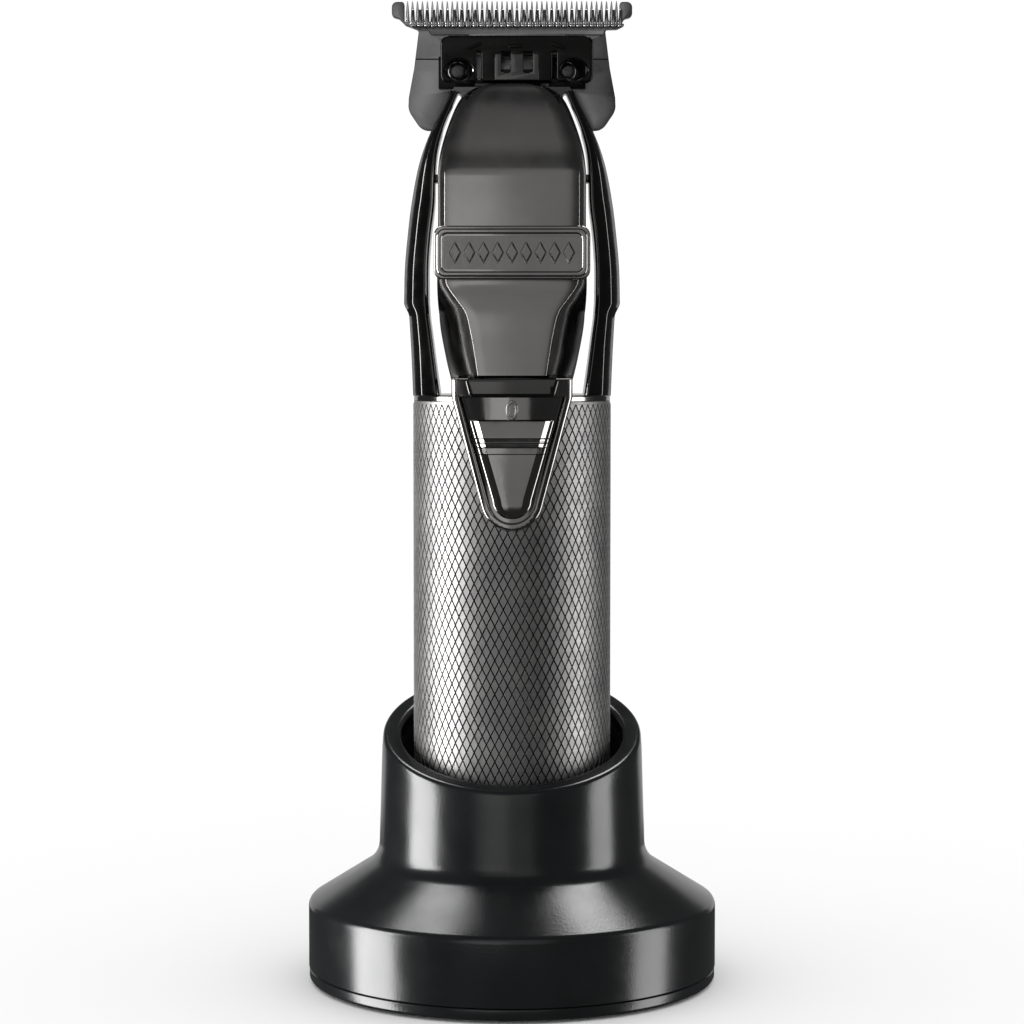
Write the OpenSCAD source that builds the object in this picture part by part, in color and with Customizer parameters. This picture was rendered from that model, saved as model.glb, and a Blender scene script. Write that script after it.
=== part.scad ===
// Cordless T-blade trimmer standing in a round charging stand.
// Origin: centre of the stand's underside. +Z is up and the front faces -Y.

/* [Charging stand] */
// Diameter of the stand's base
stand_d = 68.4; // [62:0.2:90]
// Height of the base's upright side wall
stand_wall_h = 14; // [12:0.5:20]
// How far the collar stands out from the handle where it leaves the shoulder
collar_low_out = 6; // [5.5:0.1:8]
// How far the collar stands out from the handle at its rim
collar_top_out = 5.1; // [4.8:0.1:6.4]
// Height of the rim at the front
rim_front_h = 34.8; // [28:0.2:45]
// Height of the rim at the back
rim_back_h = 49.4; // [46:0.2:62]
// Wall of the stand's moulded shell
stand_wall = 2; // [1.6:0.1:2.6]
// Height at which the trimmer stands in the cup
seat_h = 9; // [8.5:0.25:12]
// Gap between the handle and the cup, on each side
cup_gap = 2; // [1:0.1:3]

/* [Handle] */
// Diameter of the knurled grip
grip_d = 33; // [30:0.2:40]
// Length of the grip with its end cap
grip_len = 88.3; // [84:0.5:110]
// Wall of the grip sleeve
grip_wall = 1.5; // [1:0.1:2]
// Height of the end cap
cap_h = 5; // [4:0.25:8]
// Diameter of the battery cell
cell_d = 18.4; // [14:0.2:20]
// Length of the battery cell
cell_len = 65; // [50:0.5:66]

/* [Switch] */
// Width of the switch bezel at its top
bezel_w = 19.6; // [17:0.2:22]
// Width of the bezel's rounded tip
bezel_tip_w = 10.2; // [9:0.2:12]
// Length of the bezel below the top of the grip
bezel_drop = 20.8; // [19:0.2:24]
// How far the bezel stands out of the grip
bezel_proud = 1.1; // [0.8:0.1:1.6]
// Travel of the thumb slider
slider_travel = 3.4; // [2.5:0.1:3.4]

/* [Head] */
// Height of the gap between the grip and the front lid
lid_gap = 4.2; // [4:0.2:6]
// Length of the front lid
lid_len = 47.6; // [45:0.2:58]
// Width of the front lid
lid_w = 24.5; // [24:0.1:28]
// Wall of the lid and of the rear cover
lid_wall = 1.2; // [1:0.1:1.6]
// Width across the two side arms
arms_w = 35.9; // [35:0.2:42]
// Thickness of a side arm at its middle
arm_t = 4; // [3:0.1:4.2]
// Width of the nameplate
plate_w = 25.3; // [22:0.1:28]
// Height of the nameplate
plate_h = 8.7; // [7:0.1:10]
// Diameter of the motor
motor_d = 18; // [14:0.2:18.4]
// Length of the motor can
motor_len = 25.5; // [20:0.5:26]

/* [Blades] */
// Width of the fixed blade across its teeth
blade_w = 40; // [38:0.2:50]
// Thickness of the fixed blade
blade_t = 2.2; // [1.6:0.1:2.6]
// Number of teeth between the fixed blade's end lugs
blade_teeth = 43; // [30:1:48]
// Width of the moving cutter
cutter_w = 35.6; // [34:0.2:44]
// Number of teeth on the cutter
cutter_teeth = 31; // [24:1:34]
// Throw of the eccentric: the cutter moves this far each way
throw = 0.8; // [0.5:0.05:1]
// Height of the yoke that carries the cutter
yoke_h = 7.3; // [6.8:0.1:9]
// Width of the yoke
yoke_w = 25.1; // [24:0.1:28]

/* [Hidden] */
$fn = 96;

// Clearances
fit_gap = 0.05; // running and slip fits
part_gap = 0.1; // pieces that only face each other
big = 200;

// Charging stand
foot_out = 0.5; // how far the foot ring stands below the base plate
foot_top = foot_out + 0.6; // the ring sits in a groove of the base plate
base_t = 1.9; // thickness of the base plate
seam_h = foot_out + base_t;
stand_r = stand_d / 2;
foot_ring_out_r = stand_r - 2.4;
foot_ring_in_r = stand_r - 5;
ridge_r = 1.3; // rounding of the shoulder's outer ridge
shoulder_angle = 32;
fillet_r = 4.5; // hollow between shoulder and collar
rim_mid_h = (rim_front_h + rim_back_h) / 2;
collar_low_r = grip_d / 2 + collar_low_out;
collar_top_r = grip_d / 2 + collar_top_out;
rim_angle = atan((rim_back_h - rim_front_h) / (2 * collar_top_r));
lip_t = 2.5; // depth of the rim's inward lip
cup_r = grip_d / 2 + cup_gap;
cup_t = 1.4;
post_x = cup_r - 3.5;
floor_t = 2;
floor_z = seat_h - floor_t;
guide_h = 3; // height of the ring that centres the end cap
guide_gap = 0.5;
board_t = 1.2;
stand_board_z = seam_h;
screw_r = 1.25; // shank of the base screws
boss_r = 2.6;
base_head_r = 2.2;
base_head_z = foot_out + 0.9; // underside of the countersunk floor that the heads press on
post_r = 1; // posts under the cup, on the base plate
screw_ring_r = stand_r - 7.6;
ballast_h = 4;
ballast_z = seam_h;
ballast_out_r = stand_r - stand_wall - 1.2;
inlet_w = 9;
inlet_h = 8;
inlet_r = 2.85; // bore of the power inlet
inlet_end_t = 1.5; // wall at its inner end
inlet_pin_r = 0.8;
inlet_z = stand_board_z + board_t + inlet_h / 2;
inlet_back = stand_r - stand_wall - 0.4;
inlet_len = inlet_back - cup_r - cup_t - 0.9; // it ends short of the cup

// Charging pins
pin_x = 5;
pin_r = 1.1;
pin_gap = 0.05; // pin top to contact pad
pad_recess = 0.2;
pin_top = seat_h + pad_recess - pin_gap;
flange_r = 1.8;
flange_t = 0.7;
flange_z = floor_z - part_gap - flange_t;
tail_r = 0.7;
tail_len = 0.9;
pin_spring_z = stand_board_z + board_t;
pin_spring_wire = 0.16;

// Handle
grip_r = grip_d / 2;
grip_in_r = grip_r - grip_wall;
core_r = grip_in_r - part_gap; // outside of the pieces inside the sleeve
grip_z = seat_h;
sleeve_z = grip_z + cap_h;
grip_top = grip_z + grip_len;
spigot_h = 3;
pad_r = 2.2;
pad_t = 1.5;
carrier_wall = 1.5;
carrier_in_r = core_r - carrier_wall;
carrier_z = sleeve_z + spigot_h;
carrier_floor = 2.5;
cell_r = cell_d / 2;
cell_z = carrier_z + carrier_floor;
deck_spigot_h = 5.3;
carrier_top = grip_top - deck_spigot_h;
rib_h = 4;
rib_z = carrier_top - 32;
main_board_y = -cell_r - 1;
main_board_w = 13;
main_board_z = rib_z + rib_h;
window_w = 12;

// Switch bezel
bezel_r = grip_r + bezel_proud;
bezel_rim = 1.2;
bezel_recess = 0.9;
bezel_tip_r = bezel_tip_w / 2;
bezel_tip_z = grip_top - bezel_drop + bezel_tip_r;
deck_t = 1;
deck_z = grip_top;
pad_z = deck_z + deck_t;
pad_top = deck_z + lid_gap - 0.3;
bezel_back = grip_r - 5.5; // depth of the block above the grip
slider_gap = 0.15;
slider_len = 16.1;
slider_top = grip_top + 0.7 - slider_gap - slider_travel;
slider_w = 13.6;
slider_tip_r = 3.1;
slider_out_r = bezel_r + 0.4;
slider_ridge_r = bezel_r + 1.4;
ridge_z = slider_top - 5.4;
stem_w = 2;
stem_h = 2;
stem_z = slider_top - 8.2;

// Head frame
arm_r = arms_w / 2;
lid_z = deck_z + lid_gap;
lid_top = lid_z + lid_len;
neck_low_z = lid_top - 6.6;
neck_top_z = lid_top - 0.1;
neck_w = 19.4;
neck_bar_h = 0.9; // bar that joins the two arms above the lid
neck_half = 8.4; // the part of the neck that the lid hides
neck_bar_z = neck_top_z - neck_bar_h;
neck_front = -4.2;
blade_y = 1.4; // front face of the fixed blade
fork_gap = 0.6;

// Lid and rear cover
lug_depth = 5;
lug_z = lid_z + 0.67 * lid_len;
lid_r = lid_w / 2;
split_y = -1; // joint face between lid and rear cover
lid_front = -13.6; // flat seat of the nameplate
plate_z = lid_z + 0.417 * lid_len;
plate_t = 1.4;
cover_top = neck_low_z - 0.6;
screw_x = 7.6;
low_screw_z = lid_z - 0.2;
high_screw_z = neck_low_z - 3.4;
cover_screw_r = 0.95;
cover_boss_r = 2;
cover_head_r = 1.7;
cover_head_y = 7; // seat of the cover screws' heads

// Motor
motor_r = motor_d / 2;
motor_z = lid_z + 5;
motor_top = motor_z + motor_len;
shaft_r = 1;
bush_r = 2;
bush_flange_r = 3;
bush_h = 3;
bush_flange_t = 1.2;
eccentric_z = motor_top + bush_flange_t + 0.5;
eccentric_h = 4;
eccentric_r = 4;
crank_pin_r = 1;
crank_pin_top = neck_low_z - 0.2;
crank_sweep = throw + crank_pin_r; // reach of the turning pin
cradle_wall = 0.9;
cradle_h = 9; // how far the cradle reaches up the motor

// Blade stack
yoke_z = lid_top + 0.35;
yoke_top = yoke_z + yoke_h;
bracket_z = neck_top_z;
bracket_top = yoke_top + 0.75;
bracket_r = yoke_w / 2 + 0.25;
bracket_front = -3;
bracket_post_w = 4.6; // width of the bracket beside its window
yoke_front = -5;
yoke_t = 1.05;
yoke_back = yoke_front + yoke_t;
blade_back = blade_y + blade_t;
blade_low_z = neck_low_z - 0.4;
root_z = bracket_top + 2.35; // roots of the cutter's teeth
cutter_tip_z = root_z + 2.4;
blade_tip_z = cutter_tip_z + 1.4;
blade_root_z = blade_tip_z - 3.4;
end_lug_w = 2.2;
cutter_t = 1.15;
cutter_back = blade_y - fit_gap;
cutter_front = cutter_back - cutter_t;
cutter_low_z = yoke_top - 2.2;
blade_screw_x = 9;
blade_screw_z = yoke_z + 2.15;
blade_screw_r = 1.1;
blade_head_r = 1.65;
mount_t = 3.4;
mount_half = 12;
mount_head_r = 1.65;
mount_head_y = blade_back + mount_t - 1.2; // seat of the mount screws' heads
mount_screw_x = 7.3;
mount_screw_z = (neck_low_z + neck_bar_z) / 2;
prong_gap = crank_pin_r + 2 * throw + 0.1;
prong_t = 1.2;
prong_r = prong_gap + prong_t;
prong_low_z = max(crank_pin_top - 3.4, eccentric_z + eccentric_h + 0.4);
spring_x = 6.2;
spring_r = 0.35;
spring_y = bracket_front - spring_r;
spring_z = yoke_z + 0.6;
tail_z = spring_z + spring_r + 0.2;

// Points along an arc from angle a0 to a1
function arc(c, r, a0, a1, n = 12) =
    [for (i = [0:n]) let (a = a0 + (a1 - a0) * i / n) c + r * [cos(a), sin(a)]];

// The value at t on a line of [t, value] steps
function along(steps, t, i = 0) =
    i >= len(steps) - 2 || t <= steps[i + 1][0]
        ? steps[i][1] + (steps[i + 1][1] - steps[i][1]) * (t - steps[i][0]) / (steps[i + 1][0] - steps[i][0])
        : along(steps, t, i + 1);

// A closed solid through rings of points that all have the same count, listed upwards
module loft(rings) {
    n = len(rings[0]);
    m = len(rings);
    points = [for (ring = rings) each ring];
    sides = [for (k = [0:m - 2], i = [0:n - 1])
        let (j = (i + 1) % n)
            each [[k * n + i, (k + 1) * n + i, (k + 1) * n + j],
                [k * n + i, (k + 1) * n + j, k * n + j]]];
    bottom = [for (i = [1:n - 2]) [0, i, i + 1]];
    top = [for (i = [1:n - 2]) [(m - 1) * n, (m - 1) * n + i + 1, (m - 1) * n + i]];
    polyhedron(points, concat(bottom, sides, top), convexity = 4);
}

// Turns an outline in X and Z into a slab between two values of Y
module slab(y0, y1) {
    translate([0, y1, 0]) rotate([90, 0, 0]) linear_extrude(y1 - y0) children();
}

module bar(x, y0, y1, z0, z1) {
    translate([-x, y0, z0]) cube([2 * x, y1 - y0, z1 - z0]);
}

module rod_z(r, z0, z1) {
    translate([0, 0, z0]) cylinder(r = r, h = z1 - z0);
}

module rod_y(r, y0, y1) {
    translate([0, y1, 0]) rotate([90, 0, 0]) cylinder(r = r, h = y1 - y0);
}

module both_sides() {
    children();
    mirror([1, 0, 0]) children();
}

// ---- Charging stand ----

// Space above the slanted plane of the rim, moved down by drop
module above_rim(drop = 0) {
    translate([0, 0, rim_mid_h - drop]) rotate([rim_angle, 0, 0])
        translate([-big / 2, -big / 2, 0]) cube(big);
}

ridge_c = [stand_r - ridge_r, stand_wall_h - ridge_r];
ridge_end = ridge_c + ridge_r * [sin(shoulder_angle), cos(shoulder_angle)];
fillet_x = collar_low_r + fillet_r;
fillet_on_slope = [fillet_x - fillet_r * sin(shoulder_angle), 0];
slope_z = ridge_end[1] + (ridge_end[0] - fillet_on_slope[0]) * tan(shoulder_angle);
fillet_z = slope_z + fillet_r * cos(shoulder_angle);
collar_taper = (collar_low_r - collar_top_r) / (rim_mid_h - fillet_z);
collar_end_z = rim_back_h + 4;

module stand_outline() {
    polygon(concat([[0, seam_h], [stand_r, seam_h]],
        arc(ridge_c, ridge_r, 0, 90 - shoulder_angle, 6),
        arc([fillet_x, fillet_z], fillet_r, 270 - shoulder_angle, 180, 8),
        [[collar_low_r - collar_taper * (collar_end_z - fillet_z), collar_end_z], [0, collar_end_z]]));
}

cup_out_r = cup_r + cup_t;
shell_in_r = stand_r - stand_wall;
roof_z = stand_wall_h - 0.6 * stand_wall;
roof_slope = (shell_in_r - cup_out_r - fit_gap) * tan(shoulder_angle);

module stand_inside() {
    polygon([[0, seam_h - 1], [shell_in_r, seam_h - 1], [shell_in_r, roof_z - 1.4],
        [cup_out_r + fit_gap + 1.5, roof_z - 1.4 + (shell_in_r - cup_out_r - 1.5) * tan(shoulder_angle)],
        [cup_out_r + fit_gap, roof_z + roof_slope - 1.4], [cup_out_r + fit_gap, collar_end_z + 1],
        [0, collar_end_z + 1]]);
}

// Places its children at the three base screws
module at_base_screws() {
    for (a = [30, 150, 270]) rotate(a) translate([screw_ring_r, 0, 0]) children();
}

module inlet_hole(r) {
    translate([0, 0, inlet_z]) rod_y(r, inlet_back - inlet_len - 1, stand_r + 2);
}

module stand_shell() {
    color("#17181a") difference() {
        union() {
            difference() {
                rotate_extrude() stand_outline();
                difference() {
                    rotate_extrude() stand_inside();
                    above_rim(lip_t);
                }
            }
            at_base_screws() rod_z(boss_r, ballast_z + ballast_h, stand_wall_h);
        }
        rod_z(cup_r, seam_h, big);
        above_rim();
        at_base_screws() rod_z(screw_r, seam_h, stand_wall_h - 1.5);
        inlet_hole(inlet_r + 0.4);
        // pocket for the inlet's rear corners
        bar(inlet_w / 2 + part_gap, shell_in_r - 4, inlet_back + part_gap, seam_h - 1,
            inlet_z + inlet_h / 2 + part_gap);
    }
}

module charging_cup() {
    color("#101112") difference() {
        rod_z(cup_out_r, floor_z, rim_back_h + 4);
        above_rim(lip_t);
        rod_z(cup_r, seat_h + guide_h, big);
        rod_z(grip_r - 0.3 + guide_gap, seat_h, big);
        both_sides() translate([pin_x, 0, 0]) rod_z(pin_r + fit_gap, floor_z - 1, seat_h + 1);
        both_sides() translate([post_x, 0, 0]) rod_z(post_r + 0.1, floor_z - 1, floor_z + 1.2);
    }
}

module base_plate() {
    color("#151617") difference() {
        union() {
            rod_z(stand_r, foot_out, seam_h);
            rod_z(shell_in_r - part_gap, seam_h, seam_h + 0.5);
            both_sides() translate([post_x, 0, 0]) rod_z(post_r, seam_h, floor_z + 1);
        }
        difference() {
            rod_z(ballast_out_r + part_gap, seam_h, big);
            both_sides() translate([post_x, 0, 0]) rod_z(post_r + 1.2, seam_h - 1, big);
        }
        difference() {
            rod_z(foot_ring_out_r, 0, foot_top);
            rod_z(foot_ring_in_r, -1, foot_top + 1);
        }
        at_base_screws() rod_z(screw_r + 0.15, -1, seam_h + 1);
        at_base_screws() rod_z(base_head_r + 0.2, -1, base_head_z);
    }
}

module foot_ring() {
    color("#0c0c0d") difference() {
        rod_z(foot_ring_out_r, 0, foot_top);
        rod_z(foot_ring_in_r, -1, foot_top + 1);
    }
}

module ballast_ring() {
    color("#7c7f83") difference() {
        rod_z(ballast_out_r, ballast_z, ballast_z + ballast_h);
        rod_z(cup_out_r + 0.6, 0, 40);
        at_base_screws() rod_z(screw_r + 0.25, 0, 40);
        translate([-inlet_w / 2 - 1.5, 0, 0]) cube([inlet_w + 3, 60, 40]);
    }
}

module stand_board() {
    color("#1d5a35") translate([0, 0, stand_board_z]) linear_extrude(board_t) difference() {
        union() {
            circle(12.6);
            translate([-inlet_w / 2, 0]) square([inlet_w, inlet_back - 1]);
        }
        both_sides() translate([pin_x, 0]) circle(tail_r + 0.3);
    }
}

module power_inlet() {
    color("#1b1b1d") translate([0, inlet_back - inlet_len, 0]) difference() {
        bar(inlet_w / 2, 0, inlet_len, inlet_z - inlet_h / 2, inlet_z + inlet_h / 2);
        translate([0, 0, inlet_z]) difference() {
            rod_y(inlet_r, inlet_end_t, inlet_len + 1);
            rod_y(inlet_pin_r, 0, inlet_len - 1);
        }
    }
}

module base_screws() {
    color("#9a9da1") at_base_screws() {
        rod_z(base_head_r, foot_out + 0.15, base_head_z);
        rod_z(screw_r, base_head_z, stand_wall_h - 3);
    }
}

module contact_pin() {
    rod_z(pin_r, flange_z, pin_top - 0.3);
    translate([0, 0, pin_top - 0.3]) cylinder(r1 = pin_r, r2 = pin_r - 0.3, h = 0.3);
    rod_z(flange_r, flange_z, flange_z + flange_t);
    rod_z(tail_r, flange_z - tail_len, flange_z);
}

module left_pin() {
    color("#c9a24a") translate([-pin_x, 0, 0]) contact_pin();
}

module right_pin() {
    color("#c9a24a") translate([pin_x, 0, 0]) contact_pin();
}

// Flat coils stacked between the board and the pin's flange
module pin_spring() {
    coils = 4;
    step = (flange_z - pin_spring_z - 2 * pin_spring_wire) / (coils - 1);
    for (i = [0:coils - 1]) translate([0, 0, pin_spring_z + pin_spring_wire + i * step])
        rotate_extrude() translate([tail_r + 0.45, 0]) circle(pin_spring_wire, $fn = 16);
    for (i = [0:coils - 2]) rotate(i * 180)
        translate([tail_r + 0.45, 0, pin_spring_z + pin_spring_wire + i * step])
            cylinder(r = 0.1, h = step, $fn = 16);
}

module left_pin_spring() {
    color("#b9bcc0") translate([-pin_x, 0, 0]) pin_spring();
}

module right_pin_spring() {
    color("#b9bcc0") translate([pin_x, 0, 0]) pin_spring();
}

// ---- Handle ----

// Outline of the bezel, drawn in by inset; top is the height of its flat end
module bezel_outline(inset, top) {
    r = bezel_tip_r - inset;
    half = bezel_w / 2 - inset;
    shoulder = grip_top + 0.7;
    run = shoulder - bezel_tip_z;
    lean = atan((half - r) / run);
    polygon(concat([[-half, top], [-half, shoulder]],
        arc([0, bezel_tip_z], r, 180 + lean, 360 - lean, 16),
        [[half, shoulder], [half, top]]));
}

module grip_sleeve() {
    color("#5b5d60") difference() {
        rod_z(grip_r, sleeve_z, grip_top);
        rod_z(grip_in_r, sleeve_z - 1, grip_top + 1);
        slab(-grip_r - 1, -1) bezel_outline(-part_gap, grip_top + 5);
    }
}

module end_cap() {
    color("#2b2c2e") difference() {
        union() {
            translate([0, 0, grip_z]) cylinder(r1 = grip_r - 1.3, r2 = grip_r - 0.3, h = 1);
            rod_z(grip_r - 0.3, grip_z + 1, sleeve_z);
            rod_z(core_r, sleeve_z, sleeve_z + spigot_h);
        }
        rotate_extrude() translate([core_r - 0.6, sleeve_z + spigot_h / 2]) square([2, 1.2], center = true);
        both_sides() translate([pin_x, 0, 0]) rod_z(pad_r + fit_gap, grip_z - 1, grip_z + pad_recess + pad_t);
    }
}

module cap_seal() {
    color("#111111") rotate_extrude() translate([core_r - 0.95, sleeve_z + spigot_h / 2]) circle(0.55);
}

module charge_contacts() {
    color("#c9a24a") both_sides() translate([pin_x, 0, 0])
        rod_z(pad_r, grip_z + pad_recess, grip_z + pad_recess + pad_t);
}

module cell_carrier() {
    color("#26282b") difference() {
        rod_z(core_r, carrier_z, carrier_top);
        difference() {
            rod_z(carrier_in_r, cell_z, carrier_top + 1);
            rod_z(core_r, cell_z, cell_z + rib_h);
            rod_z(core_r, rib_z, rib_z + rib_h);
        }
        rod_z(cell_r + fit_gap, cell_z, carrier_top + 1);
        bar(window_w / 2, -big, -grip_r / 2, main_board_z, carrier_top + 1);
        rod_z(3, carrier_z - 1, cell_z + 1);
    }
}

module battery_cell() {
    color("#3a7a4a") {
        rod_z(cell_r, cell_z, cell_z + cell_len - 1);
        rod_z(cell_r * 0.4, cell_z + cell_len - 1, cell_z + cell_len);
    }
}

module control_board() {
    color("#1d5a35") bar(main_board_w / 2, main_board_y - board_t, main_board_y,
        main_board_z, carrier_top - 0.5);
}

module slide_switch() {
    color("#8c8f93") difference() {
        bar(3.4, main_board_y - board_t - 2, main_board_y - board_t, stem_z - 3, carrier_top - 1);
        bar(stem_w / 2 + 0.2, -big, main_board_y - board_t - 1, stem_z - 0.3,
            stem_z + stem_h + slider_travel + 0.3);
    }
}

module switch_bezel() {
    color("#8a8c8f") difference() {
        intersection() {
            slab(-big, 0) bezel_outline(0, pad_top);
            rod_z(bezel_r, 0, pad_top);
        }
        rod_z(grip_in_r + fit_gap, 0, deck_z);
        translate([-big / 2, -bezel_back, 0]) cube(big);
        difference() {
            slab(-big, 0) bezel_outline(bezel_rim, grip_top + 0.7);
            rod_z(bezel_r - bezel_recess, 0, big);
        }
        bar(stem_w / 2 + 0.25, -big, 0, stem_z - 0.3, stem_z + stem_h + slider_travel + 0.3);
    }
}

module slider_outline(inset) {
    half = slider_w / 2 - inset;
    r = slider_tip_r - inset;
    tip_z = slider_top - slider_len + slider_tip_r;
    run = slider_top - inset - tip_z;
    lean = atan((half - r) / run);
    polygon(concat([[half, slider_top - inset], [-half, slider_top - inset]],
        arc([0, tip_z], r, 180 + lean, 360 - lean, 12)));
}

module thumb_slider() {
    color("#77797c") {
        difference() {
            intersection() {
                slab(-big, 0) slider_outline(0);
                union() {
                    rod_z(slider_out_r, 0, big);
                    rod_z(slider_ridge_r, ridge_z, ridge_z + 1);
                    rod_z(slider_ridge_r, ridge_z + 1.5, ridge_z + 2.5);
                }
            }
            rod_z(bezel_r - bezel_recess + fit_gap, 0, big);
        }
        intersection() {
            bar(stem_w / 2, -slider_out_r + 0.3, main_board_y - board_t - 1.2, stem_z, stem_z + stem_h);
            rod_z(slider_out_r - 0.1, 0, big);
        }
    }
}

// ---- Head ----

// Steps of [height above the deck as a share of the arm, value] for the side arms
arm_low = deck_z + deck_t;
arm_high = neck_top_z;
arm_len = arm_high - arm_low;
arm_edge = [[0, -1.5], [0.1, -1.15], [0.2, -0.65], [0.27, -0.1], [0.31, 0], [0.42, -0.15], [0.52, -0.6],
    [0.64, -1.3], [0.73, -2.25], [0.8, -3.3], [0.87, -4.8], [1, -8.2]];
arm_gauge = [[0, 1.12], [0.1, 1.02], [0.2, 1.02], [0.3, 1], [0.52, 0.96], [0.62, 0.97], [0.7, 0.8],
    [0.8, 0.58], [0.87, 0.46], [1, 0.3]];
arm_depth = [[0, 7.4], [0.3, 6.4], [0.72, 5.2], [1, 4.2]];

function arm_ring(t) =
    let (x1 = arm_r + along(arm_edge, t), x0 = x1 - arm_t * along(arm_gauge, t), y = along(arm_depth, t),
        z = arm_low - 0.5 + (arm_len + 0.5) * t, c = (x1 - x0) * 0.35)
        [[x0, -y, z], [x1 - c, -y, z], [x1, -y + 2 * c, z], [x1, y - 2 * c, z], [x1 - c, y, z], [x0, y, z]];

module arm() {
    loft([for (i = [0:24]) arm_ring(i / 24)]);
}

module head_frame() {
    color("#4a4c4f") difference() {
        union() {
            rod_z(core_r, carrier_top, grip_top);
            rod_z(grip_r - 0.1, deck_z, deck_z + deck_t);
            intersection() {
                both_sides() arm();
                rod_z(grip_r + 1.8, 0, big);
            }
            slab(neck_front, blade_y) {
                translate([-neck_half, neck_low_z]) square([2 * neck_half, neck_top_z - neck_low_z]);
                translate([-neck_w / 2, neck_bar_z]) square([neck_w, neck_bar_h]);
            }
            // lugs that steady the arms against the covers
            both_sides() translate([lid_r * 0.99, -lug_depth / 2, lug_z]) cube([1.6, lug_depth, 1.2]);
        }
        // passage for wires and the space for the bezel's block
        rod_z(6, 0, deck_z + deck_t + 1);
        bar(bezel_w / 2 + part_gap, -big, -bezel_back + part_gap, deck_z, big);
        // behind the neck the fixed blade lies flat on the frame
        bar(big / 2, blade_y, big, blade_low_z - part_gap, big);
        // way for the yoke's prongs
        bar(prong_r + 2 * throw + fork_gap, neck_front + 1.5, big, neck_low_z - 1, big);
        both_sides() translate([mount_screw_x, 0, mount_screw_z]) rod_y(0.85, neck_front + 1, blade_y + 1);
    }
}

// Steps of [share of the lid's length, half width, flat front, front face, side slant]
lid_steps = [[0, 0.8, 5.5, -16.6, 4.5], [0.07, 0.88, 6, -16, 4.5], [0.14, 0.93, 6.6, -15.4, 4.3],
    [0.23, 1, 7.6, -14.9, 4], [0.28, 1, 9.6, -14.1, 2.8], [0.32, 1, 10.5, lid_front, 2.2],
    [0.52, 0.98, 10.9, lid_front, 1.8], [0.69, 0.99, 10.9, -12.6, 1.8], [0.76, 0.96, 10.2, -11.6, 1.8],
    [0.83, 0.88, 9.4, -10.4, 1.8], [0.93, 0.77, 7.5, -8.8, 1.6], [0.975, 0.7, 6.3, -8.1, 1.5],
    [1, 0.62, 4.9, -7.6, 1.4]];
cover_steps = [[0, 0.78, 5.5, 15, 4.5], [0.14, 0.9, 7, 14.4, 4.5], [0.3, 1, 8, 13.6, 4.3],
    [0.62, 0.98, 8.4, 12.6, 4], [0.85, 0.99, 8.4, 11.8, 4], [1, 0.87, 7.4, 10.4, 3.6]];

function lid_ring(s, t, z, back) =
    let (half = lid_r * s[1] - t, flat = s[2] - 0.5 * t, front = s[3] + t)
        [[-half, back, z], [-half, front + s[4], z], [-flat, front, z],
            [flat, front, z], [half, front + s[4], z], [half, back, z]];

module lid_solid(t, back) {
    loft([for (s = lid_steps) lid_ring(s, t, lid_z + s[0] * lid_len - (s[0] == 1 ? t : 0), back)]);
}

function cover_ring(s, t, z, front) =
    let (half = lid_r * s[1] - t, flat = s[2] - 0.5 * t, back = s[3] - t)
        [[half, front, z], [half, back - s[4], z], [flat, back, z],
            [-flat, back, z], [-half, back - s[4], z], [-half, front, z]];

cover_z = pad_z;
cover_len = cover_top - cover_z;

module cover_solid(t, front) {
    loft([for (s = cover_steps) cover_ring(s, t, cover_z + s[0] * cover_len - (s[0] == 1 ? t : 0), front)]);
}

module front_lid() {
    color("#3c3e41") difference() {
        union() {
            difference() {
                lid_solid(0, split_y);
                difference() {
                    lid_solid(lid_wall, split_y + 1);
                    bar(big, -big, big, 0, lid_z + lid_wall);
                }
            }
            intersection() {
                lid_solid(0.1, split_y);
                both_sides() {
                    translate([screw_x, 0, low_screw_z + 3]) rod_y(cover_boss_r, lid_front, split_y);
                    translate([screw_x, 0, high_screw_z]) rod_y(cover_boss_r, lid_front, split_y);
                }
            }
        }
        both_sides() {
            translate([screw_x, 0, low_screw_z + 3]) rod_y(cover_screw_r, -8, split_y + 1);
            translate([screw_x, 0, high_screw_z]) rod_y(cover_screw_r, -8, split_y + 1);
        }
        // clears the neck of the frame
        bar(big / 2, neck_front - part_gap, big, neck_low_z - part_gap, big);
        bar(big / 2, -bezel_back - 0.2, big, 0, lid_z - 1);
    }
}

module nameplate() {
    half = plate_w / 2;
    edge = 1.6;
    lip = 1.7;
    field = 0.45;
    color("#6d6f72") difference() {
        intersection() {
            slab(lid_front - plate_t, lid_front) {
                translate([0, plate_z]) offset(edge)
                    square([plate_w - 2 * edge, plate_h - 2 * edge], center = true);
            }
            bar(half, lid_front - plate_t, lid_front, 0, big);
        }
        bar(half - lip, lid_front - plate_t - 1, lid_front - plate_t + field,
            plate_z - plate_h / 2 + 0.85 * lip, plate_z + plate_h / 2 - 0.85 * lip);
    }
}

module at_cover_screws() {
    both_sides() {
        translate([screw_x, 0, low_screw_z + 3]) children();
        translate([screw_x, 0, high_screw_z]) children();
    }
}

module rear_cover() {
    color("#3c3e41") difference() {
        union() {
            difference() {
                cover_solid(0, split_y);
                difference() {
                    cover_solid(lid_wall, split_y - 1);
                    bar(big, -big, big, 0, cover_z + lid_wall);
                }
                rod_z(6, 0, cover_z + lid_wall + 1);
            }
            intersection() {
                cover_solid(0.1, split_y);
                at_cover_screws() rod_y(cover_boss_r, split_y, 12);
            }
        }
        at_cover_screws() rod_y(cover_screw_r + 0.15, split_y - 1, big);
        at_cover_screws() rod_y(cover_head_r + 0.1, cover_head_y, big);
        // way for the yoke's prongs and the eccentric's pin
        bar(prong_r + 2 * throw + fork_gap, -10, crank_sweep + fork_gap, cover_top - 3, big);
    }
}

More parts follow.
